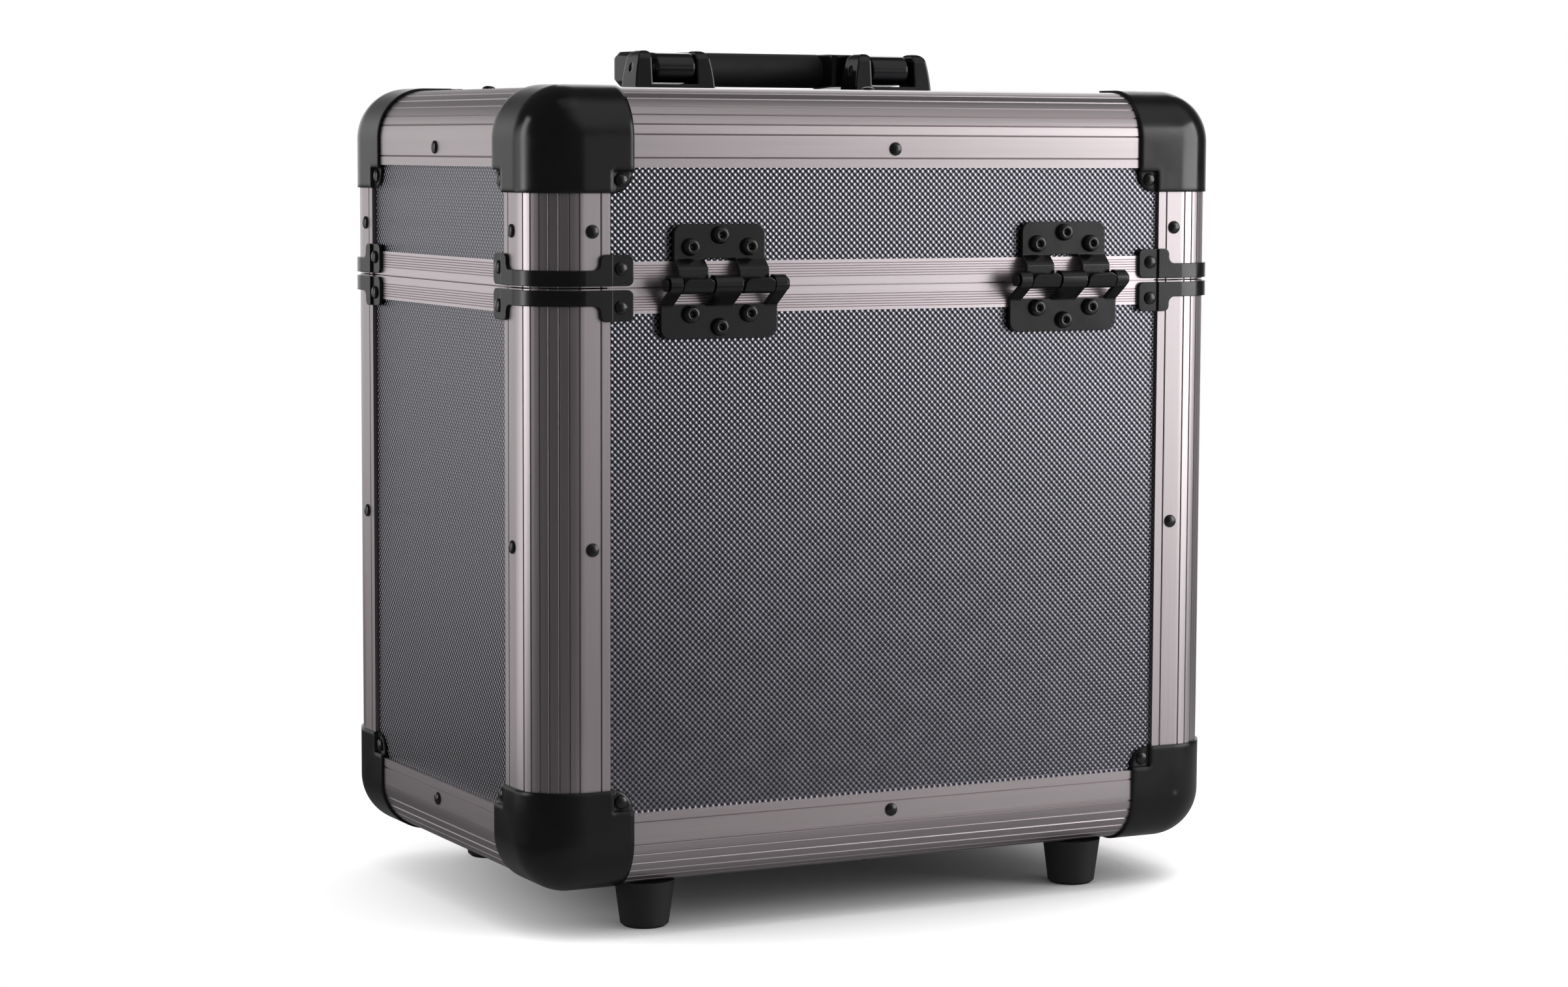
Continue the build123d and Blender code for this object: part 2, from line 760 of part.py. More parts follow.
def handle_screw_offsets():
    """X of the two screws of a bracket, under its cheeks."""
    place = handle_bracket_width / 2 - handle_cheek / 2 - 1
    return (-place, place)


def handle_screw_places():
    return [
        (side * handle_bracket_offset + x, 0, 0)
        for side in (-1, 1)
        for x in handle_screw_offsets()
    ]


def handle_screws():
    """Pan-head screws up through the top panel into the brackets."""
    panel_face_low = top - panel_in
    with BuildPart() as screws:
        with Locations(*[(x, y, panel_face_low) for x, y, _ in handle_screw_places()]):
            Cylinder(
                handle_screw_radius,
                panel_thickness + handle_screw_grip,
                align=(Align.CENTER, Align.CENTER, Align.MIN),
            )
            Cylinder(
                handle_screw_head_radius,
                screw_head_height,
                align=(Align.CENTER, Align.CENTER, Align.MAX),
            )
    return screws.part


def handle_pins():
    """The pivot pins, held in the cheeks of the brackets."""
    pin_length = handle_bracket_width - 2 * handle_pin_recess
    with BuildPart() as pins:
        for side in (-1, 1):
            with Locations((side * handle_bracket_offset, 0, handle_pivot_z)):
                Cylinder(handle_pin_radius, pin_length, rotation=(0, 90, 0))
    return pins.part


def handle_side_outline():
    """Draws an arm seen along X: the hull of the hub and of the shoulder."""
    with BuildLine() as rounds:
        CenterArc((0, handle_pivot_z), handle_hub_radius, 0, 360)
        shoulder_radius = handle_grip_radius + handle_shoulder_lip
        CenterArc((grip_axis_y, handle_pivot_z), shoulder_radius, 0, 360)
    make_hull(rounds.edges())


def handle_plan_outline():
    """Draws the arm on the +X side seen from above: hub tongue, shoulder and grip end."""
    hub_inner = handle_bracket_offset - handle_window / 2 + handle_side_gap
    hub_outer = handle_bracket_offset + handle_window / 2 - handle_side_gap
    outer_y = grip_axis_y - handle_grip_radius - handle_shoulder_lip
    with BuildSketch(mode=Mode.PRIVATE) as plan:
        Polygon(
            (hub_inner, handle_hub_radius),
            (hub_outer, handle_hub_radius),
            (hub_outer, outer_y),
            (handle_grip_half, outer_y),
            (handle_grip_half, -handle_shoulder_start),
            (hub_inner, -handle_shoulder_start),
            align=None,
        )
        inner_tip = (handle_grip_half, -handle_shoulder_start)
        for place, radius in (
            ((hub_outer, outer_y), handle_corner_radius),
            (inner_tip, handle_throat_radius),
            ((hub_inner, -handle_shoulder_start), handle_throat_radius),
        ):
            fillet(plan.vertices().sort_by_distance(place)[0], radius=radius)
    return plan.sketch


def handle_arm():
    """The arm on the +X side: side view and plan cut from one another, with a rounded end."""
    hub_outer = handle_bracket_offset + handle_window / 2 - handle_side_gap
    with BuildPart() as arm:
        with BuildSketch(Plane.YZ.offset(handle_grip_half)):
            handle_side_outline()
        extrude(amount=hub_outer - handle_grip_half)
        chamfer(arm.faces().sort_by(Axis.X)[-1].edges(), length=handle_end_chamfer)
        with BuildSketch(Plane.XY.offset(top)):
            add(handle_plan_outline())
        extrude(amount=handle_bracket_height, mode=Mode.INTERSECT)
    return arm.part


def handle_frame():
    """The moulding that swings: two arms with hubs and shoulders, and the bar under the grip."""
    bore = handle_pin_radius + hinge_running_gap
    with BuildPart() as frame:
        add(handle_arm())
        mirror(about=Plane.YZ)
        with Locations((0, grip_axis_y, handle_pivot_z)):
            Cylinder(handle_core_radius, 2 * handle_grip_half, rotation=(0, 90, 0))
        with Locations((0, 0, handle_pivot_z)):
            Cylinder(bore, case_width, rotation=(0, 90, 0), mode=Mode.SUBTRACT)
    return frame.part


def handle_grip():
    """The soft sleeve on the bar."""
    with BuildPart() as grip:
        with Locations((0, grip_axis_y, handle_pivot_z)):
            Cylinder(handle_grip_radius, 2 * handle_grip_half, rotation=(0, 90, 0))
            Cylinder(
                handle_core_radius, 2 * handle_grip_half, rotation=(0, 90, 0), mode=Mode.SUBTRACT
            )
    return grip.part


# ---------------------------------------------------------------------------
# Latches
# ---------------------------------------------------------------------------

latch_pivot = Vector(latch_pivot_out, -latch_pivot_below)
hook_pivot = latch_pivot + Vector(
    -latch_crank * sin(radians(latch_crank_angle)), -latch_crank * cos(radians(latch_crank_angle))
)


def latch_plane(x=0):
    """Across a latch: X points out of the front face, Y up, from the body rim."""
    return Plane(origin=(x, -half_y, body_rim), x_dir=(0, -1, 0), z_dir=(-1, 0, 0))


def latch_round(place, radius, half_length, mode=Mode.ADD):
    """A round along X at a place across the latch, centred on X = 0."""
    with BuildSketch(latch_plane()) as disc:
        with Locations(place):
            Circle(radius)
    extrude(disc.sketch, amount=half_length, both=True, mode=mode)


def latch_base():
    """The base plate with its two ears, centred on X = 0."""
    ear_half = latch_width / 2
    plate_middle = (latch_sheet / 2 - panel_out, -latch_base_top - latch_base_height / 2)
    with BuildPart() as base:
        with BuildSketch(latch_plane()):
            with Locations(plate_middle):
                Rectangle(latch_sheet, latch_base_height)
        extrude(amount=ear_half, both=True)
        with BuildSketch(latch_plane(ear_half), latch_plane(latch_sheet - ear_half)):
            ear_outline()
        extrude(amount=latch_sheet)
        latch_round(latch_pivot, latch_pin_radius, latch_width, Mode.SUBTRACT)
    return base.part


def ear_outline():
    """Draws an ear of the base plate: the hull of its foot on the plate and its round end."""
    with BuildLine() as outline:
        CenterArc(latch_pivot, latch_ear_radius, 0, 360)
        Line((-panel_out, latch_pivot.Y - latch_ear_foot), (-panel_out, latch_pivot.Y + latch_ear_foot))
    make_hull(outline.edges())


def latch_pivots():
    """The two headed stub rivets that carry the lever, centred on X = 0."""
    ear_half = latch_width / 2
    inner = ear_half - 2 * latch_sheet - 2 * latch_side_gap
    with BuildPart() as stubs:
        for low, high, radius in (
            (inner, ear_half, latch_pin_radius),
            (ear_half, ear_half + latch_head, latch_pin_radius + latch_head),
        ):
            for start in (low, -high):
                with BuildSketch(latch_plane(start + high - low)):
                    with Locations(latch_pivot):
                        Circle(radius)
                extrude(amount=high - low)
    return stubs.part


def latch_lever():
    """The lever: a face with a lifted finger lip and two arms that reach its pivots."""
    arm_outer = latch_width / 2 - latch_sheet - latch_side_gap
    face_middle = lever_face_out + latch_sheet / 2
    lip_turn = radians(lever_lip_angle)
    lip_root = Vector(face_middle, latch_pivot.Y - lever_length + lever_lip_length)
    lip_tip = lip_root + Vector(sin(lip_turn), -cos(lip_turn)) * lever_lip_length
    with BuildPart() as lever:
        with BuildLine() as path:
            face_top = (face_middle, latch_pivot.Y - lever_face_top)
            FilletPolyline(face_top, lip_root, lip_tip, radius=2 * latch_sheet)
        with BuildSketch(latch_plane()):
            trace(path.line, line_width=latch_sheet)
        extrude(amount=arm_outer, both=True)
        lip_corners = lever.edges().filter_by(Axis.X, reverse=True).group_by(Axis.Z)[0]
        fillet(lip_corners, radius=lever_lip_radius)
        with BuildSketch(latch_plane(arm_outer), latch_plane(latch_sheet - arm_outer)):
            arm_outline(lip_root.Y + latch_sheet)
        extrude(amount=latch_sheet)
        bore = latch_pin_radius + latch_running_gap
        latch_round(latch_pivot, bore, latch_width, Mode.SUBTRACT)
        latch_round(hook_pivot, latch_pin_radius, latch_width, Mode.SUBTRACT)
    return lever.part


def arm_outline(face_low):
    """Draws an arm of the lever: the hull of the rounds about its pivots and the side of the face."""
    outer = lever_face_out + latch_sheet
    with BuildLine() as outline:
        CenterArc(latch_pivot, latch_ear_radius, 0, 360)
        CenterArc(hook_pivot, latch_ear_radius - latch_head / 2, 0, 360)
        Line((outer, latch_pivot.Y - lever_face_top), (outer, face_low))
    make_hull(outline.edges())


def latch_hook():
    """The hook plate: a curl round its pivot, a flat shank and a claw over the keeper."""
    radius = latch_pin_radius + latch_running_gap + hook_sheet / 2
    shank = hook_inner_out + hook_sheet / 2
    claw_level = seam_gap + hook_top_above_seam - hook_sheet / 2
    leave = polar(hook_pivot, radius, hook_curl_end)
    drift = (leave.X - shank) / tan(radians(hook_curl_end))
    with BuildPart() as hook:
        with BuildLine() as path:
            CenterArc(hook_pivot, radius, hook_curl_end - hook_curl_sweep, hook_curl_sweep)
            FilletPolyline(
                leave,
                (shank, leave.Y + drift),
                (shank, claw_level),
                (hook_nose_out, claw_level),
                radius=hook_sheet / 2 + 0.5,
            )
        with BuildSketch(latch_plane()):
            trace(path.line, line_width=hook_sheet)
        extrude(amount=hook_half_width, both=True)
    return hook.part


def latch_keeper():
    """The keeper on the lid: a plate with a shelf under the claw."""
    low = seam_gap + keeper_above_seam
    shelf_top = seam_gap + hook_top_above_seam - hook_sheet - keeper_shelf_gap
    with BuildPart() as keeper:
        with BuildSketch(latch_plane()):
            with Locations((latch_sheet / 2 - rim_inset, low + keeper_height / 2)):
                Rectangle(latch_sheet, keeper_height)
        extrude(amount=latch_width / 2, both=True)
        with BuildSketch(latch_plane()):
            shelf_out = hook_inner_out - keeper_shelf_gap
            with Locations(((shelf_out - rim_inset) / 2, shelf_top - latch_sheet / 2)):
                Rectangle(shelf_out + rim_inset, latch_sheet)
        extrude(amount=hook_half_width + 1, both=True)
    return keeper.part


def lever_pin():
    """The pin that carries the hook, riveted into the arms of the lever."""
    arm_outer = latch_width / 2 - latch_sheet - latch_side_gap
    with BuildPart() as pin:
        latch_round(hook_pivot, latch_pin_radius, arm_outer)
    return pin.part


# ---------------------------------------------------------------------------
# Feet and lining
# ---------------------------------------------------------------------------


def feet():
    """Tapered rubber feet with a counterbored hole from below."""
    with BuildPart() as group:
        with Locations(*foot_places(0)):
            Cone(
                foot_base_radius,
                foot_top_radius,
                foot_height,
                align=(Align.CENTER, Align.CENTER, Align.MIN),
            )
        base_rims = group.edges().group_by(Axis.Z)[0]
        chamfer(base_rims, length=foot_chamfer)
        with Locations(*foot_places(0)):
            Cylinder(foot_screw_radius, 3 * foot_height, mode=Mode.SUBTRACT)
            Cylinder(foot_screw_head_radius, foot_height, mode=Mode.SUBTRACT)
    return group.part


def foot_screws():
    """Screws up through the feet, the edge profiles and the bottom panel."""
    with BuildPart() as screws:
        with Locations(*foot_places(foot_height / 2)):
            Cylinder(
                foot_screw_radius,
                foot_height / 2 + panel_in,
                align=(Align.CENTER, Align.CENTER, Align.MIN),
            )
            Cylinder(
                foot_screw_head_radius,
                screw_head_height,
                align=(Align.CENTER, Align.CENTER, Align.MAX),
            )
    return screws.part


def lining(low, high):
    """The felt sleeve inside the walls, round at the upright corners."""
    inset = panel_in + lining_gap
    with BuildPart() as sleeve:
        with BuildSketch(Plane.XY.offset(low)):
            RectangleRounded(
                case_width - 2 * inset, case_depth - 2 * inset, edge_radius - inset
            )
            offset(amount=-lining_thickness, mode=Mode.SUBTRACT)
        extrude(amount=high - low)
    return sleeve.part


def pad(low):
    """A foam pad on the bottom or the top panel, between the edge profiles."""
    inset = edge_radius + panel_gap
    with BuildPart() as sheet:
        with Locations((0, 0, low)):
            Box(
                case_width - 2 * inset,
                case_depth - 2 * inset,
                pad_thickness,
                align=(Align.CENTER, Align.CENTER, Align.MIN),
            )
    return sheet.part


def lid_pad():
    """The pad under the top panel, with recesses for the heads of the handle screws."""
    ceiling = top - panel_in - lining_gap
    with BuildPart() as sheet:
        add(pad(ceiling - pad_thickness))
        with Locations(*[(x, y, ceiling) for x, y, _ in handle_screw_places()]):
            Cylinder(handle_screw_head_radius + 1, 2 * screw_head_height + 1, mode=Mode.SUBTRACT)
    return sheet.part


# ---------------------------------------------------------------------------
# The whole case
# ---------------------------------------------------------------------------


def four_corners(part, upper):
    """The four copies of a corner piece, as separate solids of one piece."""
    with BuildPart() as group:
        for sx, sy in corners:
            add(to_corner(part, sx, sy, upper))
    return group.part


def make_shell():
    """Panels, edge profiles, rim strips, ball corners and rim brackets of the body and the lid."""
    body_panel_high = body_rim - rim_wall - panel_gap
    lid_panel_low = lid_rim + tongue_height + tongue_clearance + rim_wall + panel_gap
    wall_panels("body", bottom + edge_radius + panel_gap, body_panel_high)
    wall_panels("lid", lid_panel_low, top - edge_radius - panel_gap)
    panel_middle = panel_out + panel_thickness / 2
    flat_panel("body_bottom_panel", bottom + panel_middle, foot_places(0), foot_screw_radius)
    flat_panel("lid_top_panel", top - panel_middle, handle_screw_places(), handle_screw_radius)
    save(posts(bottom + corner_cut, body_rim), "body_posts")
    save(posts(lid_rim, top - corner_cut), "lid_posts")
    level_edges("bottom", bottom, 1)
    level_edges("top", top, -1)
    save(rim_strips(body_rim, -1), "body_rim")
    save(rim_strips(lid_rim, 1), "lid_rim")
    protector = ball_corner()
    for sx, sy in corners:
        place = ("back" if sy > 0 else "front") + "_" + ("right" if sx > 0 else "left")
        save(to_corner(protector, sx, sy, True), f"upper_corner_{place}")
        save(to_corner(protector, sx, sy, False), f"lower_corner_{place}")
    save(four_corners(rim_bracket(lid_rim, 1), True), "lid_rim_brackets")
    save(four_corners(rim_bracket(body_rim, -1), True), "body_rim_brackets")


def make_rivets():
    """The rivets of the ball corners, rim brackets and edge profiles."""
    head = rivet_head(rivet_head_radius, rivet_head_height)
    base_low = -latch_base_top - latch_base_height
    base_levels = (base_low + latch_rivet_margin, -latch_base_top - latch_rivet_margin)
    base_seats = latch_rivet_places(latch_sheet - panel_out, latch_base_spread, base_levels)
    keeper_low = seam_gap + keeper_above_seam
    keeper_levels = (keeper_low + keeper_height - latch_rivet_margin,)
    keeper_seats = latch_rivet_places(latch_sheet - rim_inset, keeper_spread, keeper_levels)
    body_seats = corner_rivet_places(False) + ear_rivet_places(body_rim, -1) + base_seats
    lid_seats = corner_rivet_places(True) + ear_rivet_places(lid_rim, 1) + keeper_seats
    save(rivets(body_seats + edge_rivet_places(bottom, -1, bottom + post_rivet_body), head), "body_rivets")
    save(rivets(lid_seats + edge_rivet_places(top, 1, lid_rim + post_rivet_lid), head), "lid_rivets")


def make_hinges():
    """Two hinges with hooked upper straps on headed pins."""
    upper_rows = [upper_leaf_bottom + row for row in upper_rivet_rows]
    lower_rows = [-lower_leaf_top - row for row in lower_rivet_rows]
    upper_path, lower_path = upper_strap_path(), lower_strap_path()
    upper_straps = [
        (upper_path, upper_strap_inner, upper_strap_outer),
        (upper_path, -upper_strap_outer, -upper_strap_inner),
    ]
    lower_straps = [
        (lower_path, -lower_leaf_width / 2, -lower_strap_inner),
        (lower_path, -lower_strap_middle, lower_strap_middle),
        (lower_path, lower_strap_inner, lower_leaf_width / 2),
    ]
    upper = hinge_leaf(upper_leaf_width, upper_leaf_bottom, True, upper_straps)
    lower_low = -lower_leaf_top - lower_leaf_height
    lower = hinge_leaf(lower_leaf_width, lower_low, False, lower_straps)
    save(at_each(upper, hinge_offset), "hinge_upper_leaves")
    save(at_each(lower, hinge_offset), "hinge_lower_leaves")
    save(at_each(hinge_pin(), hinge_offset), "hinge_pins")
    head = rivet_head(hinge_rivet_radius, hinge_rivet_height, hinge_rivet_bore)
    for name, rows in (("upper", upper_rows), ("lower", lower_rows)):
        seats = [
            Plane(
                (side * hinge_offset + x, half_y - rim_inset + hinge_sheet, body_rim + z),
                z_dir=(0, 1, 0),
            )
            for side in (-1, 1)
            for x, z in (
                (-hinge_rivet_spread, rows[0]),
                (hinge_rivet_spread, rows[0]),
                (0, rows[1]),
            )
        ]
        save(rivets(seats, head), f"hinge_{name}_rivets")


def make_handle():
    """The folding handle on the lid."""
    save(at_each(handle_bracket(), handle_bracket_offset), "handle_brackets")
    save(handle_screws(), "handle_screws")
    save(handle_pins(), "handle_pins")
    save(handle_frame(), "handle_frame")
    save(handle_grip(), "handle_grip")


def make_latches():
    """Two draw latches on the front."""
    save(at_each(latch_base(), latch_offset), "latch_bases")
    save(at_each(latch_pivots(), latch_offset), "latch_pivots")
    save(at_each(latch_keeper(), latch_offset), "latch_keepers")
    for name, x in (("right", latch_offset), ("left", -latch_offset)):
        save(shifted(latch_lever(), x), f"latch_lever_{name}")
        save(shifted(lever_pin(), x), f"latch_lever_pin_{name}")
        save(shifted(latch_hook(), x), f"latch_hook_{name}")


def shifted(part, x):
    """A copy of a piece moved along X."""
    with BuildPart() as copy:
        with Locations((x, 0, 0)):
            add(part)
    return copy.part


def make_feet_and_lining():
    """Feet with their screws, and the soft lining."""
    save(feet(), "feet")
    save(foot_screws(), "foot_screws")
    arc_gap = edge_radius + lining_gap
    save(lining(bottom + arc_gap, body_rim - rim_height - lining_gap), "body_lining")
    save(lining(lid_rim + rim_height + lining_gap, top - arc_gap), "lid_lining")
    save(pad(bottom + panel_in + lining_gap), "floor_pad")
    save(lid_pad(), "lid_pad")


os.makedirs("parts", exist_ok=True)
make_shell()
make_rivets()
make_hinges()
make_handle()
make_latches()
make_feet_and_lining()
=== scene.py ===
"""Record carrying case: finishes, rivets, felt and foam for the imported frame, with floor, lights and camera.

Everything is in metres in the frame of the part: origin on the floor under the case, +Z up, and +Y towards
the hinges.
"""

import math

import bmesh
import bpy
from mathutils import Matrix, Vector, noise


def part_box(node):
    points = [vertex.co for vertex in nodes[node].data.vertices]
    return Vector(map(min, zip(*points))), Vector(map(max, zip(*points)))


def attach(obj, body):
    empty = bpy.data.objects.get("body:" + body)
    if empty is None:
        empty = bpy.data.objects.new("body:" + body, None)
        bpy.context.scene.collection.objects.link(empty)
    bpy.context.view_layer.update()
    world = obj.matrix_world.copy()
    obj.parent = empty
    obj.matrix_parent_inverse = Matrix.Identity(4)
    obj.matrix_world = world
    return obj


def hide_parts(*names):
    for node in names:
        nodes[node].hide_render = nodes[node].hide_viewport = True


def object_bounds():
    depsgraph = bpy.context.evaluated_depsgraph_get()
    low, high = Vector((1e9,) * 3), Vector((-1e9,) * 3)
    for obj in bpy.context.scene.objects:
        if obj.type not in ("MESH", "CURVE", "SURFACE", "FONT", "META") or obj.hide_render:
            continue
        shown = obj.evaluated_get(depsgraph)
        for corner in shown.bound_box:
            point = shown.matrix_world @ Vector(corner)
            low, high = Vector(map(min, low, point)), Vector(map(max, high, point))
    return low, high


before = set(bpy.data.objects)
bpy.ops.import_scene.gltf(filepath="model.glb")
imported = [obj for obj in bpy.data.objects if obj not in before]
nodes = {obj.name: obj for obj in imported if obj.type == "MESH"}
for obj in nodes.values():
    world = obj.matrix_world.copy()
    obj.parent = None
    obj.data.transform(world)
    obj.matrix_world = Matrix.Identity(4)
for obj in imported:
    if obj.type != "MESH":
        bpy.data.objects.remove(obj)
cad_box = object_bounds()

# --- camera ------------------------------------------------------------------
PHOTO_WIDTH = 2408  # pixels
FOCAL_PIXELS = 5613.0  # solved, like the place and angles, from the case's edges in the photograph
SENSOR_WIDTH = 36.0  # millimetres
CAMERA_PLACE = Vector((0.8366, 1.6466, 0.3682))
CAMERA_YAW = math.radians(27.043)  # the view turned from -Y towards -X
CAMERA_PITCH = math.radians(-5.429)
CAMERA_ROLL = math.radians(0.232)

# --- floor -------------------------------------------------------------------
FLOOR_RADIUS = 30.0
FLOOR_SEGMENTS = 96
FLOOR_MIDDLE = Vector((-0.2, 0.12, 0.0))
FLOOR_FADE = (0.28, 0.56)  # how far from its middle the floor turns from lit to pure white
FLOOR_WHITE = (0.8, 0.8, 0.8, 1.0)
FLOOR_GAIN = (1.35, 1.35, 1.35)  # what the camera sees on top of that where the floor is open
FLOOR_SHADE = (0.0, 0.0, 0.0)  # and right beside the case, as painted shade
FLOOR_REACH = 0.35  # how near a wall is that shades that gain
FLOOR_OPEN = (0.32, 0.74)  # share of open sky over which shade turns to gain
FLOOR_MIRRORED = (0.38, 0.38, 0.38, 1.0)  # the floor near the case, in reflections
WHITE = (1.0, 1.0, 1.0, 1.0)

# --- room in reflections -----------------------------------------------------
ROOM_LEVEL = 0.07
BACKDROP_WAY = (-0.25, -0.97, 0.0)  # away from the camera
BACKDROP_LEVEL = 0.93
BACKDROP_REACH = (0.55, 0.95)  # cosines to that way over which it grows from none to full
BACKDROP_RISE = (-0.25, 0.05)  # sines of elevation over which it begins
BACKDROP_FALL = (0.12, 0.45)  # and over which it ends
GLOWS = (
    # azimuth and elevation in degrees, cosines to that way from none to full, level
    ((-45.0, 45.0), (0.75, 0.99), 0.4),  # ceiling over the hinges
    ((123.0, -4.0), (0.88, 0.99), 0.92),  # wall beside the case
    ((-41.0, -6.0), (0.89, 0.99), 0.5),  # window behind the hinges
)

# --- lights ------------------------------------------------------------------
FILL_LEVEL = 0.65  # even light on matt surfaces
LIT_MIDDLE = Vector((0.0, 0.0, 0.25))  # what the lamps aim at, and the middle of the reflected room

# --- all finishes ------------------------------------------------------------
# Scales count the waves of a noise per metre.
MOST_NOISE = (0.3, 0.7)  # most of a noise's values lie between these
WIDE_NOISE = (0.25, 0.75)
WIDEST_NOISE = (0.2, 0.8)
OCCLUSION_SAMPLES = 8
BEVEL_SAMPLES = 8
FIRST_COLOUR = 6  # sockets of a Mix node that is set to colours
SECOND_COLOUR = 7
MIXED_COLOUR = 2

# --- embossed sheet on the panels --------------------------------------------
DIAMOND_PITCH = 0.00306  # between two raised points of a row
FACET_TILT = 0.24  # slope of a point's sides
FACET_BLEND = 0.6  # how softly two sides meet
FACET_RISE = (0.4, 1.6)  # heights, of 2, over which the valley's colour turns to the facet's
SHEET_FACET = (0.352, 0.347, 0.392)
SHEET_VALLEY = (0.08, 0.0785, 0.088)
SHEET_CLOUDS = 90.0
SHEET_DETAIL = 4.0
SHEET_ROUGHNESS = (0.2, 0.27)

# --- aluminium ---------------------------------------------------------------
ANODISED = (0.62, 0.56, 0.575)
RIM_TONE = (0.86, 0.775, 0.805)
STEEL = (0.2, 0.2, 0.21)
ALUMINIUM_ROUGHNESS = 0.34
RIM_ROUGHNESS = 0.32
STEEL_ROUGHNESS = 0.35
ALONG_X = (120.0, 1.0, 1.0)  # how far the streaks are drawn out along each axis
ALONG_Y = (1.0, 120.0, 1.0)
ALONG_Z = (1.0, 1.0, 120.0)
ALONG_SEAM = (120.0, 120.0, 1.0)
STREAK_SCALE = 2600.0
BAND_SCALE = 420.0
CAST_SCALE = 14.0
STREAK_SHARE = 0.4  # of the shade, with the two below
BAND_SHARE = 0.35
CAST_SHARE = 0.25
STREAK_TINT = (0.95, 1.05)
STREAK_ROUGHNESS = (-0.02, 0.03)
STREAK_DEPTH = 0.000006
STREAK_STRENGTH = 0.15
# Painted shade: ambient occlusion darkens the colour of the grooves.
GROOVE_REACH = 0.0008  # how near a wall is that shades a groove
GROOVE_OPEN = (0.45, 0.95)  # share of open sky over which the painted groove shade fades to the metal's own colour
GROOVE_SHADE = 0.7

# --- black coat --------------------------------------------------------------
COAT = (0.003, 0.003, 0.003)
COAT_LIGHTER = 1.5  # the lightest patches, of the darkest
COAT_SHINE = 0.6
COAT_PEEL = 1300.0
COAT_CAST = 60.0
COAT_UNEVEN = (-0.04, 0.05)  # roughness to either side of the coat's own
COAT_STRENGTH = 0.6
COAT_GRAIN = 0.00003
CORNER_GRAIN = 0.00001
COAT_EDGE = 0.0006  # how far an edge is worn round
CORNER_EDGE = 0.003
COAT_ROUGHNESS = 0.2
CORNER_ROUGHNESS = 0.19

# --- moulded plastic ---------------------------------------------------------
PLASTIC_LIGHTER = 1.6
PLASTIC_SHINE = 0.7
PLASTIC_FLOW = 45.0
PLASTIC_GRIT = 1500.0
PLASTIC_UNEVEN = 0.05
PLASTIC_GRAIN = 0.00001
PLASTIC_STRENGTH = 0.5
RIVET_BLACK = (0.004, 0.004, 0.004)
RIVET_ROUGHNESS = 0.2
RIVET_EDGE = 0.0004
HANDLE_BLACK = (0.003, 0.003, 0.003)
HANDLE_ROUGHNESS = 0.08
HANDLE_EDGE = 0.0012

# --- rubber ------------------------------------------------------------------
RUBBER = (0.009, 0.009, 0.0095)
RUBBER_LIGHTER = 1.7
RUBBER_GRIT = 1900.0
RUBBER_CAST = 50.0
RUBBER_ROUGHNESS = (0.62, 0.75)
RUBBER_GRAIN = 0.00006
RUBBER_STRENGTH = 0.7

# --- rivets ------------------------------------------------------------------
WELD = 1e-6  # points nearer than this are one
DOME_SEGMENTS = 24
DOME_RINGS = 6
DOME_SKIRT = 0.22  # upright part of a head's height
HOLLOW_SKIRT = 0.2
HOLLOW_CREST = 0.62  # where a hollow head stops rising, of its radius
HINGE_BORE = 0.0015  # radius of the hole in a hinge rivet
HINGE_BORE_DEPTH = 0.0018
LIP_RADIUS = 1.25  # of the bore's radius
LIP_DROP = 0.93  # of the head's height
BORE_TIP = 1.2  # of the bore's depth

# --- felt and foam -----------------------------------------------------------
FIBRE_ROUGHNESS = 0.95
FIBRE_SHEEN_ROUGHNESS = 0.5
FIBRE_DETAIL = 5.0
FIBRE_PATCH = 35.0
FLUFF_SHARE = 0.7
PATCH_SHARE = 0.3
FIBRE_DEPTH = 0.0003
FIBRE_STRENGTH = 0.8
FELT_DARK = (0.012, 0.012, 0.014)
FELT_LIGHT = (0.04, 0.04, 0.045)
FELT_FLUFF = 1800.0
FELT_SHEEN = 0.25
FELT_STEP = 0.012
FELT_HEM = 0.0018  # how far the rounding of an upper or lower edge reaches
FELT_SINK = 0.0005  # the most that felt is pressed into its glue
FELT_WAVES = 38.0
FELT_UPRIGHT = 0.3  # a point whose normal lies flatter than this is on a wall of the sleeve
FOAM_DARK = (0.018, 0.018, 0.02)
FOAM_LIGHT = (0.05, 0.05, 0.055)
FOAM_FLUFF = 1100.0
FOAM_SHEEN = 0.1
FOAM_CELL = 0.008
FOAM_CROWN = 0.0008
FOAM_WAVES = 28.0
FOAM_ROLL = 0.6  # how far an edge is rolled, of the thickness


# ---------------------------------------------------------------------------
# Node trees
# ---------------------------------------------------------------------------


def plug(tree, socket, value):
    """Gives a socket a value of its own or the output of another node."""
    if isinstance(value, bpy.types.NodeSocket):
        tree.links.new(value, socket)
    else:
        socket.default_value = value


def add(tree, kind, inputs=None, **settings):
    node = tree.nodes.new("ShaderNode" + kind)
    for name, value in settings.items():
        setattr(node, name, value)
    for name, value in (inputs or {}).items():
        plug(tree, node.inputs[name], value)
    return node


def maths(tree, operation, *values):
    node = add(tree, "Math", operation=operation)
    for socket, value in zip(node.inputs, values):
        plug(tree, socket, value)
    return node.outputs["Value"]


def between(tree, value, low, high, new_low=0.0, new_high=1.0):
    """A value's smooth run from low to high, as new_low to new_high."""
    ramp = add(
        tree,
        "MapRange",
        {"Value": value, "From Min": low, "From Max": high, "To Min": new_low, "To Max": new_high},
        interpolation_type="SMOOTHSTEP",
    )
    return ramp.outputs["Result"]


def mix_colours(tree, factor, first, second, blend="MIX"):
    mix = add(tree, "Mix", data_type="RGBA", blend_type=blend)
    plug(tree, mix.inputs["Factor"], factor)
    plug(tree, mix.inputs[FIRST_COLOUR], first)
    plug(tree, mix.inputs[SECOND_COLOUR], second)
    return mix.outputs[MIXED_COLOUR]


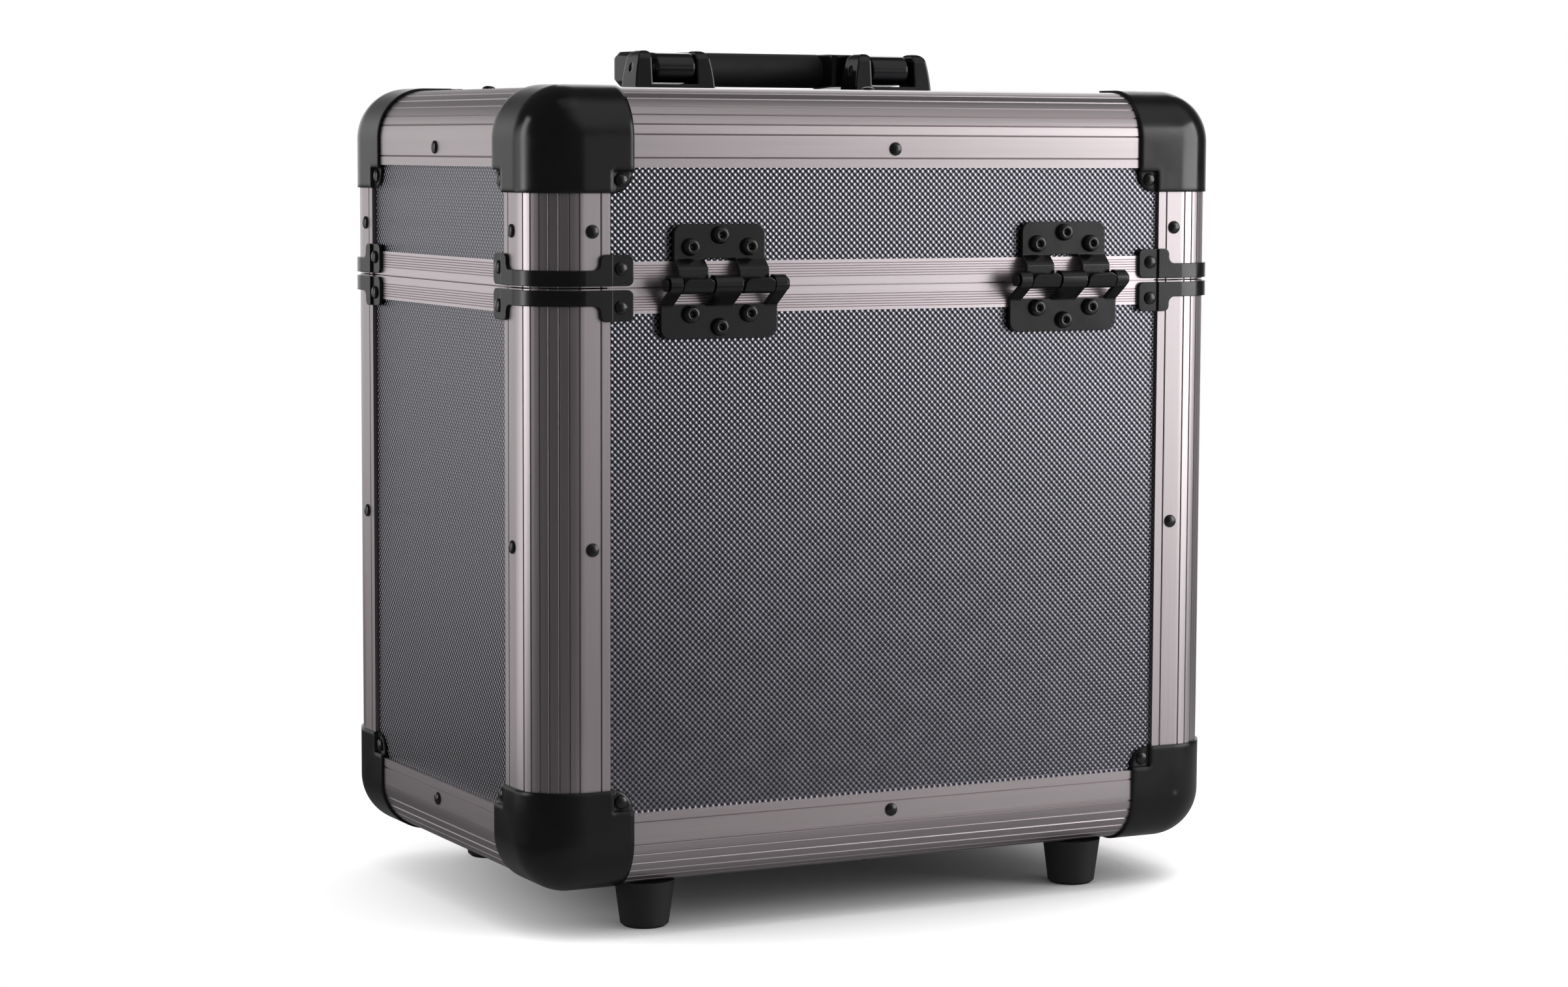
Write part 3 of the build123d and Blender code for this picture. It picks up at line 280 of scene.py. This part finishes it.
def tint(tree, factor, dark, light):
    """The colour that goes from dark to light with the factor."""
    return mix_colours(tree, factor, (*dark, 1.0), (*light, 1.0))


def scaled(colour, factor):
    return tuple(factor * c for c in colour)


def clouds(tree, place, scale, detail=3.0, stretch=(1.0, 1.0, 1.0)):
    """Noise from 0 to 1. Stretch above 1 draws it out along that axis."""
    squeeze = add(tree, "Mapping", {"Vector": place, "Scale": tuple(1 / s for s in stretch)})
    fog = add(
        tree,
        "TexNoise",
        {"Vector": squeeze.outputs["Vector"], "Scale": scale, "Detail": detail},
    )
    return fog.outputs["Fac"]


def surface(name, **constants):
    """A material with one Principled shader, and the coordinates of the case in metres."""
    material = bpy.data.materials.new(name)
    material.use_nodes = True
    tree = material.node_tree
    tree.nodes.clear()
    output = add(tree, "OutputMaterial")
    shader = add(tree, "BsdfPrincipled")
    tree.links.new(shader.outputs["BSDF"], output.inputs["Surface"])
    for socket, value in constants.items():
        shader.inputs[socket.replace("_", " ")].default_value = value
    place = add(tree, "TexCoord").outputs["Object"]
    return material, tree, shader, place


def relief(tree, height, distance, strength, normal=None):
    """A normal that a height leans, on top of another normal if one is given."""
    inputs = {"Height": height, "Distance": distance, "Strength": strength}
    if normal is not None:
        inputs["Normal"] = normal
    return add(tree, "Bump", inputs).outputs["Normal"]


# ---------------------------------------------------------------------------
# Finishes
# ---------------------------------------------------------------------------


def ridge(tree, run):
    """Height, from 0 to 1, and slope, from -1 to 1, of the ridges across a run in metres."""
    count = maths(tree, "DIVIDE", run, DIAMOND_PITCH)
    height = maths(tree, "MULTIPLY", maths(tree, "PINGPONG", count, 0.5), 2.0)
    wave = maths(tree, "SINE", maths(tree, "MULTIPLY", count, 2 * math.pi))
    slope = between(tree, wave, -FACET_BLEND, FACET_BLEND, -1.0, 1.0)
    return height, slope


def embossed_sheet(name, across_axis, up_axis):
    """Dark metallic sheet pressed into rows of small four-sided points."""
    material, tree, shader, place = surface(name, Metallic=1.0)
    split = add(tree, "SeparateXYZ", {"Vector": place})
    across = split.outputs[across_axis]
    up = split.outputs[up_axis]
    rising, rising_slope = ridge(tree, maths(tree, "ADD", across, up))
    falling, falling_slope = ridge(tree, maths(tree, "SUBTRACT", across, up))
    height = maths(tree, "ADD", rising, falling)
    sideways = maths(tree, "ADD", rising_slope, falling_slope)
    upwards = maths(tree, "SUBTRACT", rising_slope, falling_slope)
    tilt = add(tree, "CombineXYZ")
    plug(tree, tilt.inputs[across_axis], maths(tree, "MULTIPLY", sideways, -FACET_TILT / 2))
    plug(tree, tilt.inputs[up_axis], maths(tree, "MULTIPLY", upwards, -FACET_TILT / 2))
    turned = add(
        tree,
        "VectorTransform",
        {"Vector": tilt.outputs["Vector"]},
        vector_type="VECTOR",
        convert_from="OBJECT",
        convert_to="WORLD",
    )
    face = add(tree, "NewGeometry").outputs["Normal"]
    leaned = add(tree, "VectorMath", {0: face, 1: turned.outputs["Vector"]}, operation="ADD")
    normal = add(tree, "VectorMath", {0: leaned.outputs["Vector"]}, operation="NORMALIZE")
    shade = between(tree, height, *FACET_RISE)
    cast = clouds(tree, place, SHEET_CLOUDS, SHEET_DETAIL)
    plug(tree, shader.inputs["Base Color"], tint(tree, shade, SHEET_VALLEY, SHEET_FACET))
    plug(tree, shader.inputs["Roughness"], between(tree, cast, *MOST_NOISE, *SHEET_ROUGHNESS))
    plug(tree, shader.inputs["Normal"], normal.outputs["Vector"])
    return material


def brushed_aluminium(name, stretch, colour, roughness=ALUMINIUM_ROUGHNESS):
    """Satin metal with fine streaks along the length of the profile, and painted shade darkening its grooves.
    """
    material, tree, shader, place = surface(name, Metallic=1.0)
    streaks = clouds(tree, place, STREAK_SCALE, stretch=stretch)
    bands = clouds(tree, place, BAND_SCALE, detail=2.0, stretch=stretch)
    cast = clouds(tree, place, CAST_SCALE, detail=2.0)
    shade = maths(tree, "MULTIPLY_ADD", streaks, STREAK_SHARE, maths(tree, "MULTIPLY", bands, BAND_SHARE))
    shade = between(tree, maths(tree, "MULTIPLY_ADD", cast, CAST_SHARE, shade), *WIDE_NOISE)
    dark, light = (scaled(colour, factor) for factor in STREAK_TINT)
    unshaded = tint(tree, shade, dark, light)
    # painted shade: ambient occlusion darkens the colour in grooves and beside raised parts
    sky = add(tree, "AmbientOcclusion", {"Distance": GROOVE_REACH}, samples=OCCLUSION_SAMPLES).outputs["AO"]
    painted_groove_shade = between(tree, sky, *GROOVE_OPEN, GROOVE_SHADE, 1.0)
    smoother, rougher = (roughness + step for step in STREAK_ROUGHNESS)
    plug(tree, shader.inputs["Base Color"], mix_colours(tree, 1.0, unshaded, painted_groove_shade, "MULTIPLY"))
    plug(tree, shader.inputs["Roughness"], between(tree, streaks, *WIDEST_NOISE, smoother, rougher))
    plug(tree, shader.inputs["Normal"], relief(tree, streaks, STREAK_DEPTH, STREAK_STRENGTH))
    return material


def coated_metal(name, roughness=COAT_ROUGHNESS, grain=COAT_GRAIN, edge=COAT_EDGE):
    """Satin black powder coat, with a slight orange peel and edges that are worn round."""
    material, tree, shader, place = surface(name, Specular_IOR_Level=COAT_SHINE)
    peel = clouds(tree, place, COAT_PEEL, detail=2.0)
    cast = clouds(tree, place, COAT_CAST)
    rounded = add(tree, "Bevel", {"Radius": edge}, samples=BEVEL_SAMPLES).outputs["Normal"]
    shade = between(tree, cast, *MOST_NOISE)
    smoother, rougher = (roughness + step for step in COAT_UNEVEN)
    plug(tree, shader.inputs["Base Color"], tint(tree, shade, COAT, scaled(COAT, COAT_LIGHTER)))
    plug(tree, shader.inputs["Roughness"], between(tree, cast, *WIDE_NOISE, smoother, rougher))
    plug(tree, shader.inputs["Normal"], relief(tree, peel, grain, COAT_STRENGTH, rounded))
    return material


def plastic(name, colour, roughness, edge):
    """Moulded black plastic."""
    material, tree, shader, place = surface(name, Specular_IOR_Level=PLASTIC_SHINE)
    flow = clouds(tree, place, PLASTIC_FLOW, detail=2.0)
    grit = clouds(tree, place, PLASTIC_GRIT, detail=2.0)
    rounded = add(tree, "Bevel", {"Radius": edge}, samples=BEVEL_SAMPLES).outputs["Normal"]
    uneven = between(tree, flow, *MOST_NOISE, roughness, roughness + PLASTIC_UNEVEN)
    plug(tree, shader.inputs["Base Color"], tint(tree, flow, colour, scaled(colour, PLASTIC_LIGHTER)))
    plug(tree, shader.inputs["Roughness"], uneven)
    plug(tree, shader.inputs["Normal"], relief(tree, grit, PLASTIC_GRAIN, PLASTIC_STRENGTH, rounded))
    return material


def rubber(name):
    """Soft matt rubber with a fine grain."""
    material, tree, shader, place = surface(name)
    grit = clouds(tree, place, RUBBER_GRIT)
    cast = clouds(tree, place, RUBBER_CAST)
    plug(tree, shader.inputs["Base Color"], tint(tree, cast, RUBBER, scaled(RUBBER, RUBBER_LIGHTER)))
    plug(tree, shader.inputs["Roughness"], between(tree, cast, *MOST_NOISE, *RUBBER_ROUGHNESS))
    plug(tree, shader.inputs["Normal"], relief(tree, grit, RUBBER_GRAIN, RUBBER_STRENGTH))
    return material


def fibre(name, dark, light, scale, sheen):
    """Felt or foam: a dull surface of short fibres or small cells."""
    material, tree, shader, place = surface(
        name,
        Roughness=FIBRE_ROUGHNESS,
        Sheen_Weight=sheen,
        Sheen_Roughness=FIBRE_SHEEN_ROUGHNESS,
    )
    fluff = clouds(tree, place, scale, FIBRE_DETAIL)
    patch = clouds(tree, place, FIBRE_PATCH)
    blend = maths(tree, "MULTIPLY_ADD", fluff, FLUFF_SHARE, maths(tree, "MULTIPLY", patch, PATCH_SHARE))
    plug(tree, shader.inputs["Base Color"], tint(tree, between(tree, blend, *MOST_NOISE), dark, light))
    plug(tree, shader.inputs["Normal"], relief(tree, fluff, FIBRE_DEPTH, FIBRE_STRENGTH))
    return material


sheet_facing_y = embossed_sheet("sheet_facing_y", "X", "Z")
sheet_facing_x = embossed_sheet("sheet_facing_x", "Y", "Z")
sheet_facing_z = embossed_sheet("sheet_facing_z", "X", "Y")
aluminium_x = brushed_aluminium("aluminium_x", ALONG_X, ANODISED)
aluminium_y = brushed_aluminium("aluminium_y", ALONG_Y, ANODISED)
aluminium_z = brushed_aluminium("aluminium_z", ALONG_Z, ANODISED)
rim_aluminium = brushed_aluminium("rim_aluminium", ALONG_SEAM, RIM_TONE, RIM_ROUGHNESS)
corner_black = coated_metal("corner_black", CORNER_ROUGHNESS, CORNER_GRAIN, CORNER_EDGE)
bracket_black = coated_metal("bracket_black")
hinge_black = coated_metal("hinge_black")
latch_black = coated_metal("latch_black")
pin_steel = brushed_aluminium("pin_steel", ALONG_X, STEEL, STEEL_ROUGHNESS)
rivet_black = plastic("rivet_black", RIVET_BLACK, RIVET_ROUGHNESS, RIVET_EDGE)
handle_black = plastic("handle_black", HANDLE_BLACK, HANDLE_ROUGHNESS, HANDLE_EDGE)
screw_steel = brushed_aluminium("screw_steel", ALONG_X, STEEL, STEEL_ROUGHNESS)
grip_rubber = rubber("grip_rubber")
foot_rubber = rubber("foot_rubber")
felt = fibre("felt", FELT_DARK, FELT_LIGHT, FELT_FLUFF, FELT_SHEEN)
foam = fibre("foam", FOAM_DARK, FOAM_LIGHT, FOAM_FLUFF, FOAM_SHEEN)


def finish_nodes(material, *names):
    """Gives each CAD node of that name one finish all over."""
    for name in names:
        nodes[name].data.materials.clear()
        nodes[name].data.materials.append(material)


def finish_frame():
    for side, sheet in (
        ("back", sheet_facing_y),
        ("front", sheet_facing_y),
        ("left", sheet_facing_x),
        ("right", sheet_facing_x),
    ):
        finish_nodes(sheet, f"body_{side}_panel", f"lid_{side}_panel")
    finish_nodes(sheet_facing_z, "body_bottom_panel", "lid_top_panel")
    for level in ("bottom", "top"):
        finish_nodes(aluminium_x, f"{level}_edge_back", f"{level}_edge_front")
        finish_nodes(aluminium_y, f"{level}_edge_left", f"{level}_edge_right")
    finish_nodes(aluminium_z, "body_posts", "lid_posts")
    finish_nodes(rim_aluminium, "body_rim", "lid_rim")
    for level in ("lower", "upper"):
        for place in ("back_left", "back_right", "front_left", "front_right"):
            finish_nodes(corner_black, f"{level}_corner_{place}")
    finish_nodes(bracket_black, "body_rim_brackets", "lid_rim_brackets")
    finish_nodes(hinge_black, "hinge_lower_leaves", "hinge_upper_leaves", "hinge_pins")
    finish_nodes(handle_black, "handle_frame", "handle_brackets")
    finish_nodes(pin_steel, "handle_pins", "latch_lever_pin_left", "latch_lever_pin_right")
    finish_nodes(screw_steel, "handle_screws", "foot_screws")
    finish_nodes(grip_rubber, "handle_grip")
    finish_nodes(foot_rubber, "feet")
    finish_nodes(latch_black, "latch_bases", "latch_keepers", "latch_pivots")
    for side in ("left", "right"):
        finish_nodes(latch_black, f"latch_lever_{side}", f"latch_hook_{side}")


# ---------------------------------------------------------------------------
# Rivets
# ---------------------------------------------------------------------------


def solids_of(name):
    """The corner points of each separate solid of a CAD node."""
    mesh = bmesh.new()
    mesh.from_mesh(nodes[name].data)
    bmesh.ops.remove_doubles(mesh, verts=mesh.verts, dist=WELD)
    met = set()
    solids = []
    for first in mesh.verts:
        if first in met:
            continue
        met.add(first)
        reached = [first]
        for vert in reached:
            for edge in vert.link_edges:
                other = edge.other_vert(vert)
                if other not in met:
                    met.add(other)
                    reached.append(other)
        solids.append([vert.co.copy() for vert in reached])
    mesh.free()
    return solids


def seat_of(points):
    """The seat of a rivet head as a matrix with Z out of the case, its radius and its height."""
    low = Vector([min(p[i] for p in points) for i in range(3)])
    high = Vector([max(p[i] for p in points) for i in range(3)])
    size = high - low
    axis = min(range(3), key=lambda i: size[i])
    middle = (low + high) / 2
    outward = Vector((0, 0, 0))
    outward[axis] = math.copysign(1, (middle - (cad_box[0] + cad_box[1]) / 2)[axis])
    seat = middle - outward * size[axis] / 2
    turn = outward.to_track_quat("Z", "Y").to_matrix().to_4x4()
    return Matrix.Translation(seat) @ turn, max(size) / 2, size[axis]


def spin(mesh, seat, outline):
    """Turns an outline of (radius, height) points round the seat's axis. A point on the axis is a tip."""
    rings = []
    for radius, height in outline:
        count = DOME_SEGMENTS if radius > 0 else 1
        turns = [2 * math.pi * k / DOME_SEGMENTS for k in range(count)]
        points = [Vector((radius * math.cos(t), radius * math.sin(t), height)) for t in turns]
        rings.append([mesh.verts.new(seat @ point) for point in points])
    for lower, upper in zip(rings, rings[1:]):
        for k in range(DOME_SEGMENTS):
            after = (k + 1) % DOME_SEGMENTS
            corners = [lower[k % len(lower)], lower[after % len(lower)]]
            corners += [upper[after % len(upper)], upper[k % len(upper)]]
            mesh.faces.new(list(dict.fromkeys(corners))).smooth = True


def dome_outline(radius, height):
    """A low round head over a short upright skirt."""
    skirt = DOME_SKIRT * height
    turns = [math.pi / 2 * k / DOME_RINGS for k in range(DOME_RINGS)]
    arc = [(radius * math.cos(t), skirt + (height - skirt) * math.sin(t)) for t in turns]
    return [(0.0, 0.0), (radius, 0.0), *arc, (0.0, height)]


def hollow_outline(radius, height):
    """A round head with a hole in it."""
    crest = HOLLOW_CREST * radius
    skirt = HOLLOW_SKIRT * height
    turns = [math.pi / 2 * k / DOME_RINGS for k in range(DOME_RINGS + 1)]
    arc = [(crest + (radius - crest) * math.cos(t), skirt + (height - skirt) * math.sin(t)) for t in turns]
    lip = [(HINGE_BORE * LIP_RADIUS, height), (HINGE_BORE, height * LIP_DROP)]
    hole = [(HINGE_BORE, height - HINGE_BORE_DEPTH), (0.0, height - HINGE_BORE_DEPTH * BORE_TIP)]
    return [(0.0, 0.0), (radius, 0.0), *arc, *lip, *hole]


def as_piece(name, mesh, material):
    bmesh.ops.recalc_face_normals(mesh, faces=mesh.faces)
    data = bpy.data.meshes.new(name)
    mesh.to_mesh(data)
    mesh.free()
    data.materials.append(material)
    piece = bpy.data.objects.new(name, data)
    bpy.context.scene.collection.objects.link(piece)
    return piece


def round_heads(name, node, body, outline):
    """Smooth heads in the place of a node's rivets."""
    mesh = bmesh.new()
    for points in solids_of(node):
        seat, radius, height = seat_of(points)
        spin(mesh, seat, outline(radius, height))
    heads = as_piece(name, mesh, rivet_black)
    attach(heads, body)
    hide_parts(node)


def make_rivets():
    round_heads("body_rivet_domes", "body_rivets", "case_body", dome_outline)
    round_heads("lid_rivet_domes", "lid_rivets", "lid", dome_outline)
    round_heads("hinge_lower_rivet_heads", "hinge_lower_rivets", "case_body", hollow_outline)
    round_heads("hinge_upper_rivet_heads", "hinge_upper_rivets", "lid", hollow_outline)


# ---------------------------------------------------------------------------
# Felt and foam
# ---------------------------------------------------------------------------


def cut_across(mesh, axis, places):
    """Cuts a mesh at each place along an axis, so that its flat faces get points to move."""
    for place in places:
        point = Vector((0, 0, 0))
        normal = Vector((0, 0, 0))
        point[axis] = place
        normal[axis] = 1
        everything = mesh.verts[:] + mesh.edges[:] + mesh.faces[:]
        bmesh.ops.bisect_plane(mesh, geom=everything, dist=WELD, plane_co=point, plane_no=normal)


def steps(low, high, step):
    """Evenly spaced places between two ends, about a step apart."""
    count = round((high - low) / step)
    return [low + (high - low) * k / count for k in range(1, count)]


def make_lining(name, node, body):
    """A felt sleeve that lies unevenly on its glue, with soft upper and lower hems."""
    low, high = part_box(node)
    mesh = bmesh.new()
    mesh.from_mesh(nodes[node].data)
    bmesh.ops.remove_doubles(mesh, verts=mesh.verts, dist=WELD)
    for axis in range(3):
        cut_across(mesh, axis, steps(low[axis], high[axis], FELT_STEP))
    hem_cuts = [low.z + FELT_HEM, low.z + FELT_HEM / 3, high.z - FELT_HEM / 3, high.z - FELT_HEM]
    cut_across(mesh, 2, hem_cuts)
    bmesh.ops.triangulate(mesh, faces=[face for face in mesh.faces if len(face.verts) > 4])
    mesh.normal_update()
    middle = (low + high) / 2
    moves = []
    for vert in mesh.verts:
        inward = Vector((vert.normal.x, vert.normal.y, 0.0))
        across = Vector((vert.co.x - middle.x, vert.co.y - middle.y, 0.0))
        if inward.length < FELT_UPRIGHT or inward.dot(across) > 0:
            continue
        end = min(vert.co.z - low.z, high.z - vert.co.z)
        hem = max(0.0, 1 - end / FELT_HEM)
        lie = 0.5 + 0.5 * noise.noise(vert.co * FELT_WAVES)
        moves.append((vert, inward.normalized() * (FELT_SINK * lie + FELT_HEM * 0.5 * hem**2)))
    for vert, move in moves:
        vert.co -= move
    for face in mesh.faces:
        face.smooth = True
    sleeve = as_piece(name, mesh, felt)
    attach(sleeve, body)
    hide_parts(node)


def make_pad(name, node, body, up):
    """A foam pad with a soft crown and rolled edges."""
    low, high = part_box(node)
    size = high - low
    thickness = size.z
    columns = round(size.x / FOAM_CELL)
    rows = round(size.y / FOAM_CELL)
    roll = thickness * FOAM_ROLL
    mesh = bmesh.new()
    shown = []
    hidden = []
    for j in range(rows + 1):
        for i in range(columns + 1):
            x = low.x + size.x * i / columns
            y = low.y + size.y * j / rows
            edge = min(x - low.x, high.x - x, y - low.y, high.y - y)
            fall = max(0.0, 1 - edge / roll)
            wave = FOAM_CROWN * 0.5 * noise.noise(Vector((x * FOAM_WAVES, y * FOAM_WAVES, up)))
            drop = thickness * 0.5 * fall**2 + FOAM_CROWN * 0.5 + wave
            face = high.z - drop if up > 0 else low.z + drop
            base = low.z if up > 0 else high.z
            shown.append(mesh.verts.new((x, y, face)))
            hidden.append(mesh.verts.new((x, y, base)))
    width = columns + 1
    for j in range(rows):
        for i in range(columns):
            a = j * width + i
            loop = [a, a + 1, a + width + 1, a + width]
            mesh.faces.new([shown[k] for k in loop]).smooth = True
            mesh.faces.new([hidden[k] for k in reversed(loop)])
    rim = list(range(width))
    rim += [j * width + columns for j in range(1, rows + 1)]
    rim += [rows * width + i for i in range(columns - 1, -1, -1)]
    rim += [j * width for j in range(rows - 1, 0, -1)]
    for a, b in zip(rim, rim[1:] + rim[:1]):
        mesh.faces.new([hidden[a], hidden[b], shown[b], shown[a]]).smooth = True
    pad = as_piece(name, mesh, foam)
    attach(pad, body)
    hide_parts(node)


def make_soft_parts():
    make_lining("body_felt", "body_lining", "case_body")
    make_lining("lid_felt", "lid_lining", "lid")
    make_pad("floor_foam", "floor_pad", "case_body", 1)
    make_pad("lid_foam", "lid_pad", "lid", -1)


# ---------------------------------------------------------------------------
# Studio
# ---------------------------------------------------------------------------


def make_camera():
    camera = bpy.data.objects.new("camera", bpy.data.cameras.new("camera"))
    bpy.context.scene.collection.objects.link(camera)
    camera.data.sensor_fit = "HORIZONTAL"
    camera.data.sensor_width = SENSOR_WIDTH
    camera.data.lens = FOCAL_PIXELS / PHOTO_WIDTH * SENSOR_WIDTH
    flat = math.cos(CAMERA_PITCH)
    look = Vector((-math.sin(CAMERA_YAW) * flat, -math.cos(CAMERA_YAW) * flat, math.sin(CAMERA_PITCH)))
    aim = look.to_track_quat("-Z", "Y").to_matrix() @ Matrix.Rotation(CAMERA_ROLL, 3, "Z")
    camera.matrix_world = Matrix.Translation(CAMERA_PLACE) @ aim.to_4x4()
    bpy.context.scene.camera = camera


def way_out(azimuth, elevation):
    """The direction out of the case at these degrees. Azimuth 0 is over +Y and 90 over +X."""
    turn = math.radians(azimuth)
    rise = math.radians(elevation)
    return Vector((math.sin(turn) * math.cos(rise), math.cos(turn) * math.cos(rise), math.sin(rise)))


def facing(tree, direction, way, low, high):
    """From 0 to 1 as a direction turns towards a way in the room."""
    level = add(tree, "VectorMath", {0: direction}, operation="NORMALIZE").outputs["Vector"]
    turned = add(tree, "VectorMath", {0: level, 1: Vector(way).normalized()}, operation="DOT_PRODUCT")
    return between(tree, turned.outputs["Value"], low, high)


def room_level(tree, direction):
    """How bright the room is that way in reflections: dim, with pale backdrop, ceiling, wall and window."""
    level_way = add(tree, "VectorMath", {0: direction, 1: Vector((1.0, 1.0, 0.0))}, operation="MULTIPLY")
    backdrop = facing(tree, level_way.outputs["Vector"], BACKDROP_WAY, *BACKDROP_REACH)
    rise = facing(tree, direction, (0, 0, 1), *BACKDROP_RISE)
    fall = maths(tree, "SUBTRACT", 1.0, facing(tree, direction, (0, 0, 1), *BACKDROP_FALL))
    backdrop = maths(tree, "MULTIPLY", backdrop, maths(tree, "MULTIPLY", rise, fall))
    level = maths(tree, "MULTIPLY_ADD", backdrop, BACKDROP_LEVEL, ROOM_LEVEL)
    for way, reach, brightness in GLOWS:
        glow = facing(tree, direction, way_out(*way), *reach)
        level = maths(tree, "MULTIPLY_ADD", glow, brightness, level)
    return level


def make_floor():
    """A white floor that keeps the shadow under the case, darkens an added lift near the case as painted
    shade, and turns pure white away from it.
    """
    mesh = bmesh.new()
    bmesh.ops.create_circle(mesh, cap_ends=True, segments=FLOOR_SEGMENTS, radius=FLOOR_RADIUS)
    floor = as_piece("floor", mesh, bpy.data.materials.new("floor_white"))
    material = floor.data.materials[0]
    material.use_nodes = True
    tree = material.node_tree
    tree.nodes.clear()
    place = add(tree, "TexCoord").outputs["Object"]
    distance = add(tree, "VectorMath", {0: place, 1: FLOOR_MIDDLE}, operation="DISTANCE").outputs["Value"]
    away = between(tree, distance, *FLOOR_FADE)
    matt = add(tree, "BsdfDiffuse", {"Color": FLOOR_WHITE})
    # painted shadow: the lift's colour falls from FLOOR_GAIN to FLOOR_SHADE where ambient occlusion finds the
    # case near
    sky = add(tree, "AmbientOcclusion", {"Distance": FLOOR_REACH}, samples=OCCLUSION_SAMPLES).outputs["AO"]
    gain = tint(tree, between(tree, sky, *FLOOR_OPEN), FLOOR_SHADE, FLOOR_GAIN)
    lift = add(tree, "BsdfDiffuse", {"Color": gain})
    lit = add(tree, "AddShader", {0: matt.outputs[0], 1: lift.outputs[0]})
    white = add(tree, "Emission", {"Color": WHITE, "Strength": 1.0})
    shown = add(tree, "MixShader", {0: away, 1: lit.outputs[0], 2: white.outputs[0]})
    dim = add(tree, "BsdfDiffuse", {"Color": FLOOR_MIRRORED})
    from_middle = add(tree, "VectorMath", {0: place, 1: LIT_MIDDLE}, operation="SUBTRACT").outputs["Vector"]
    level = room_level(tree, from_middle)
    room = add(tree, "Emission", {"Color": WHITE, "Strength": level})
    mirrored = add(tree, "MixShader", {0: away, 1: dim.outputs[0], 2: room.outputs[0]})
    rays = add(tree, "LightPath").outputs
    glossy = rays["Is Glossy Ray"]
    unseen = add(tree, "MixShader", {0: glossy, 1: matt.outputs[0], 2: mirrored.outputs[0]})
    seen = maths(tree, "MAXIMUM", rays["Is Camera Ray"], rays["Is Transmission Ray"])
    final = add(tree, "MixShader", {0: seen, 1: unseen.outputs[0], 2: shown.outputs[0]})
    output = add(tree, "OutputMaterial")
    tree.links.new(final.outputs[0], output.inputs["Surface"])


def make_world():
    """White to the eye, with an even fill for matt surfaces and a dim room with a pale backdrop in metal."""
    world = bpy.data.worlds.new("studio")
    bpy.context.scene.world = world
    world.use_nodes = True
    tree = world.node_tree
    tree.nodes.clear()
    rays = add(tree, "LightPath").outputs
    level = room_level(tree, add(tree, "TexCoord").outputs["Generated"])
    seen = maths(tree, "MAXIMUM", rays["Is Camera Ray"], rays["Is Transmission Ray"])
    fill = add(tree, "Background", {"Color": WHITE, "Strength": FILL_LEVEL})
    white = add(tree, "Background", {"Color": WHITE, "Strength": 1.0})
    room = add(tree, "Background", {"Color": WHITE, "Strength": level})
    unseen = add(tree, "MixShader", {0: rays["Is Glossy Ray"], 1: fill.outputs[0], 2: room.outputs[0]})
    final = add(tree, "MixShader", {0: seen, 1: unseen.outputs[0], 2: white.outputs[0]})
    output = add(tree, "OutputWorld")
    tree.links.new(final.outputs[0], output.inputs["Surface"])


def softbox(name, azimuth, elevation, distance, width, height, radiance):
    """A lamp of even brightness, aimed at the middle of the case."""
    light = bpy.data.lights.new(name, "AREA")
    light.shape = "RECTANGLE"
    light.size = width
    light.size_y = height
    light.energy = radiance * math.pi * width * height
    lamp = bpy.data.objects.new(name, light)
    bpy.context.scene.collection.objects.link(lamp)
    out = way_out(azimuth, elevation)
    lamp.location = LIT_MIDDLE + out * distance
    lamp.rotation_mode = "QUATERNION"
    lamp.rotation_quaternion = (-out).to_track_quat("-Z", "Y")


def make_lights():
    softbox("softbox_back", azimuth=-56, elevation=12, distance=2.2, width=1.6, height=1.35, radiance=3.1)
    softbox("softbox_side", azimuth=112, elevation=14, distance=2.2, width=0.5, height=1.5, radiance=2.3)
    softbox("softbox_top", azimuth=0, elevation=78, distance=1.8, width=0.9, height=0.7, radiance=0.2)
    softbox("softbox_front", azimuth=-145, elevation=25, distance=2.2, width=1.2, height=1.2, radiance=1.2)


finish_frame()
make_rivets()
make_soft_parts()
make_camera()
make_floor()
make_world()
make_lights()
bpy.context.scene.view_settings.view_transform = "Standard"
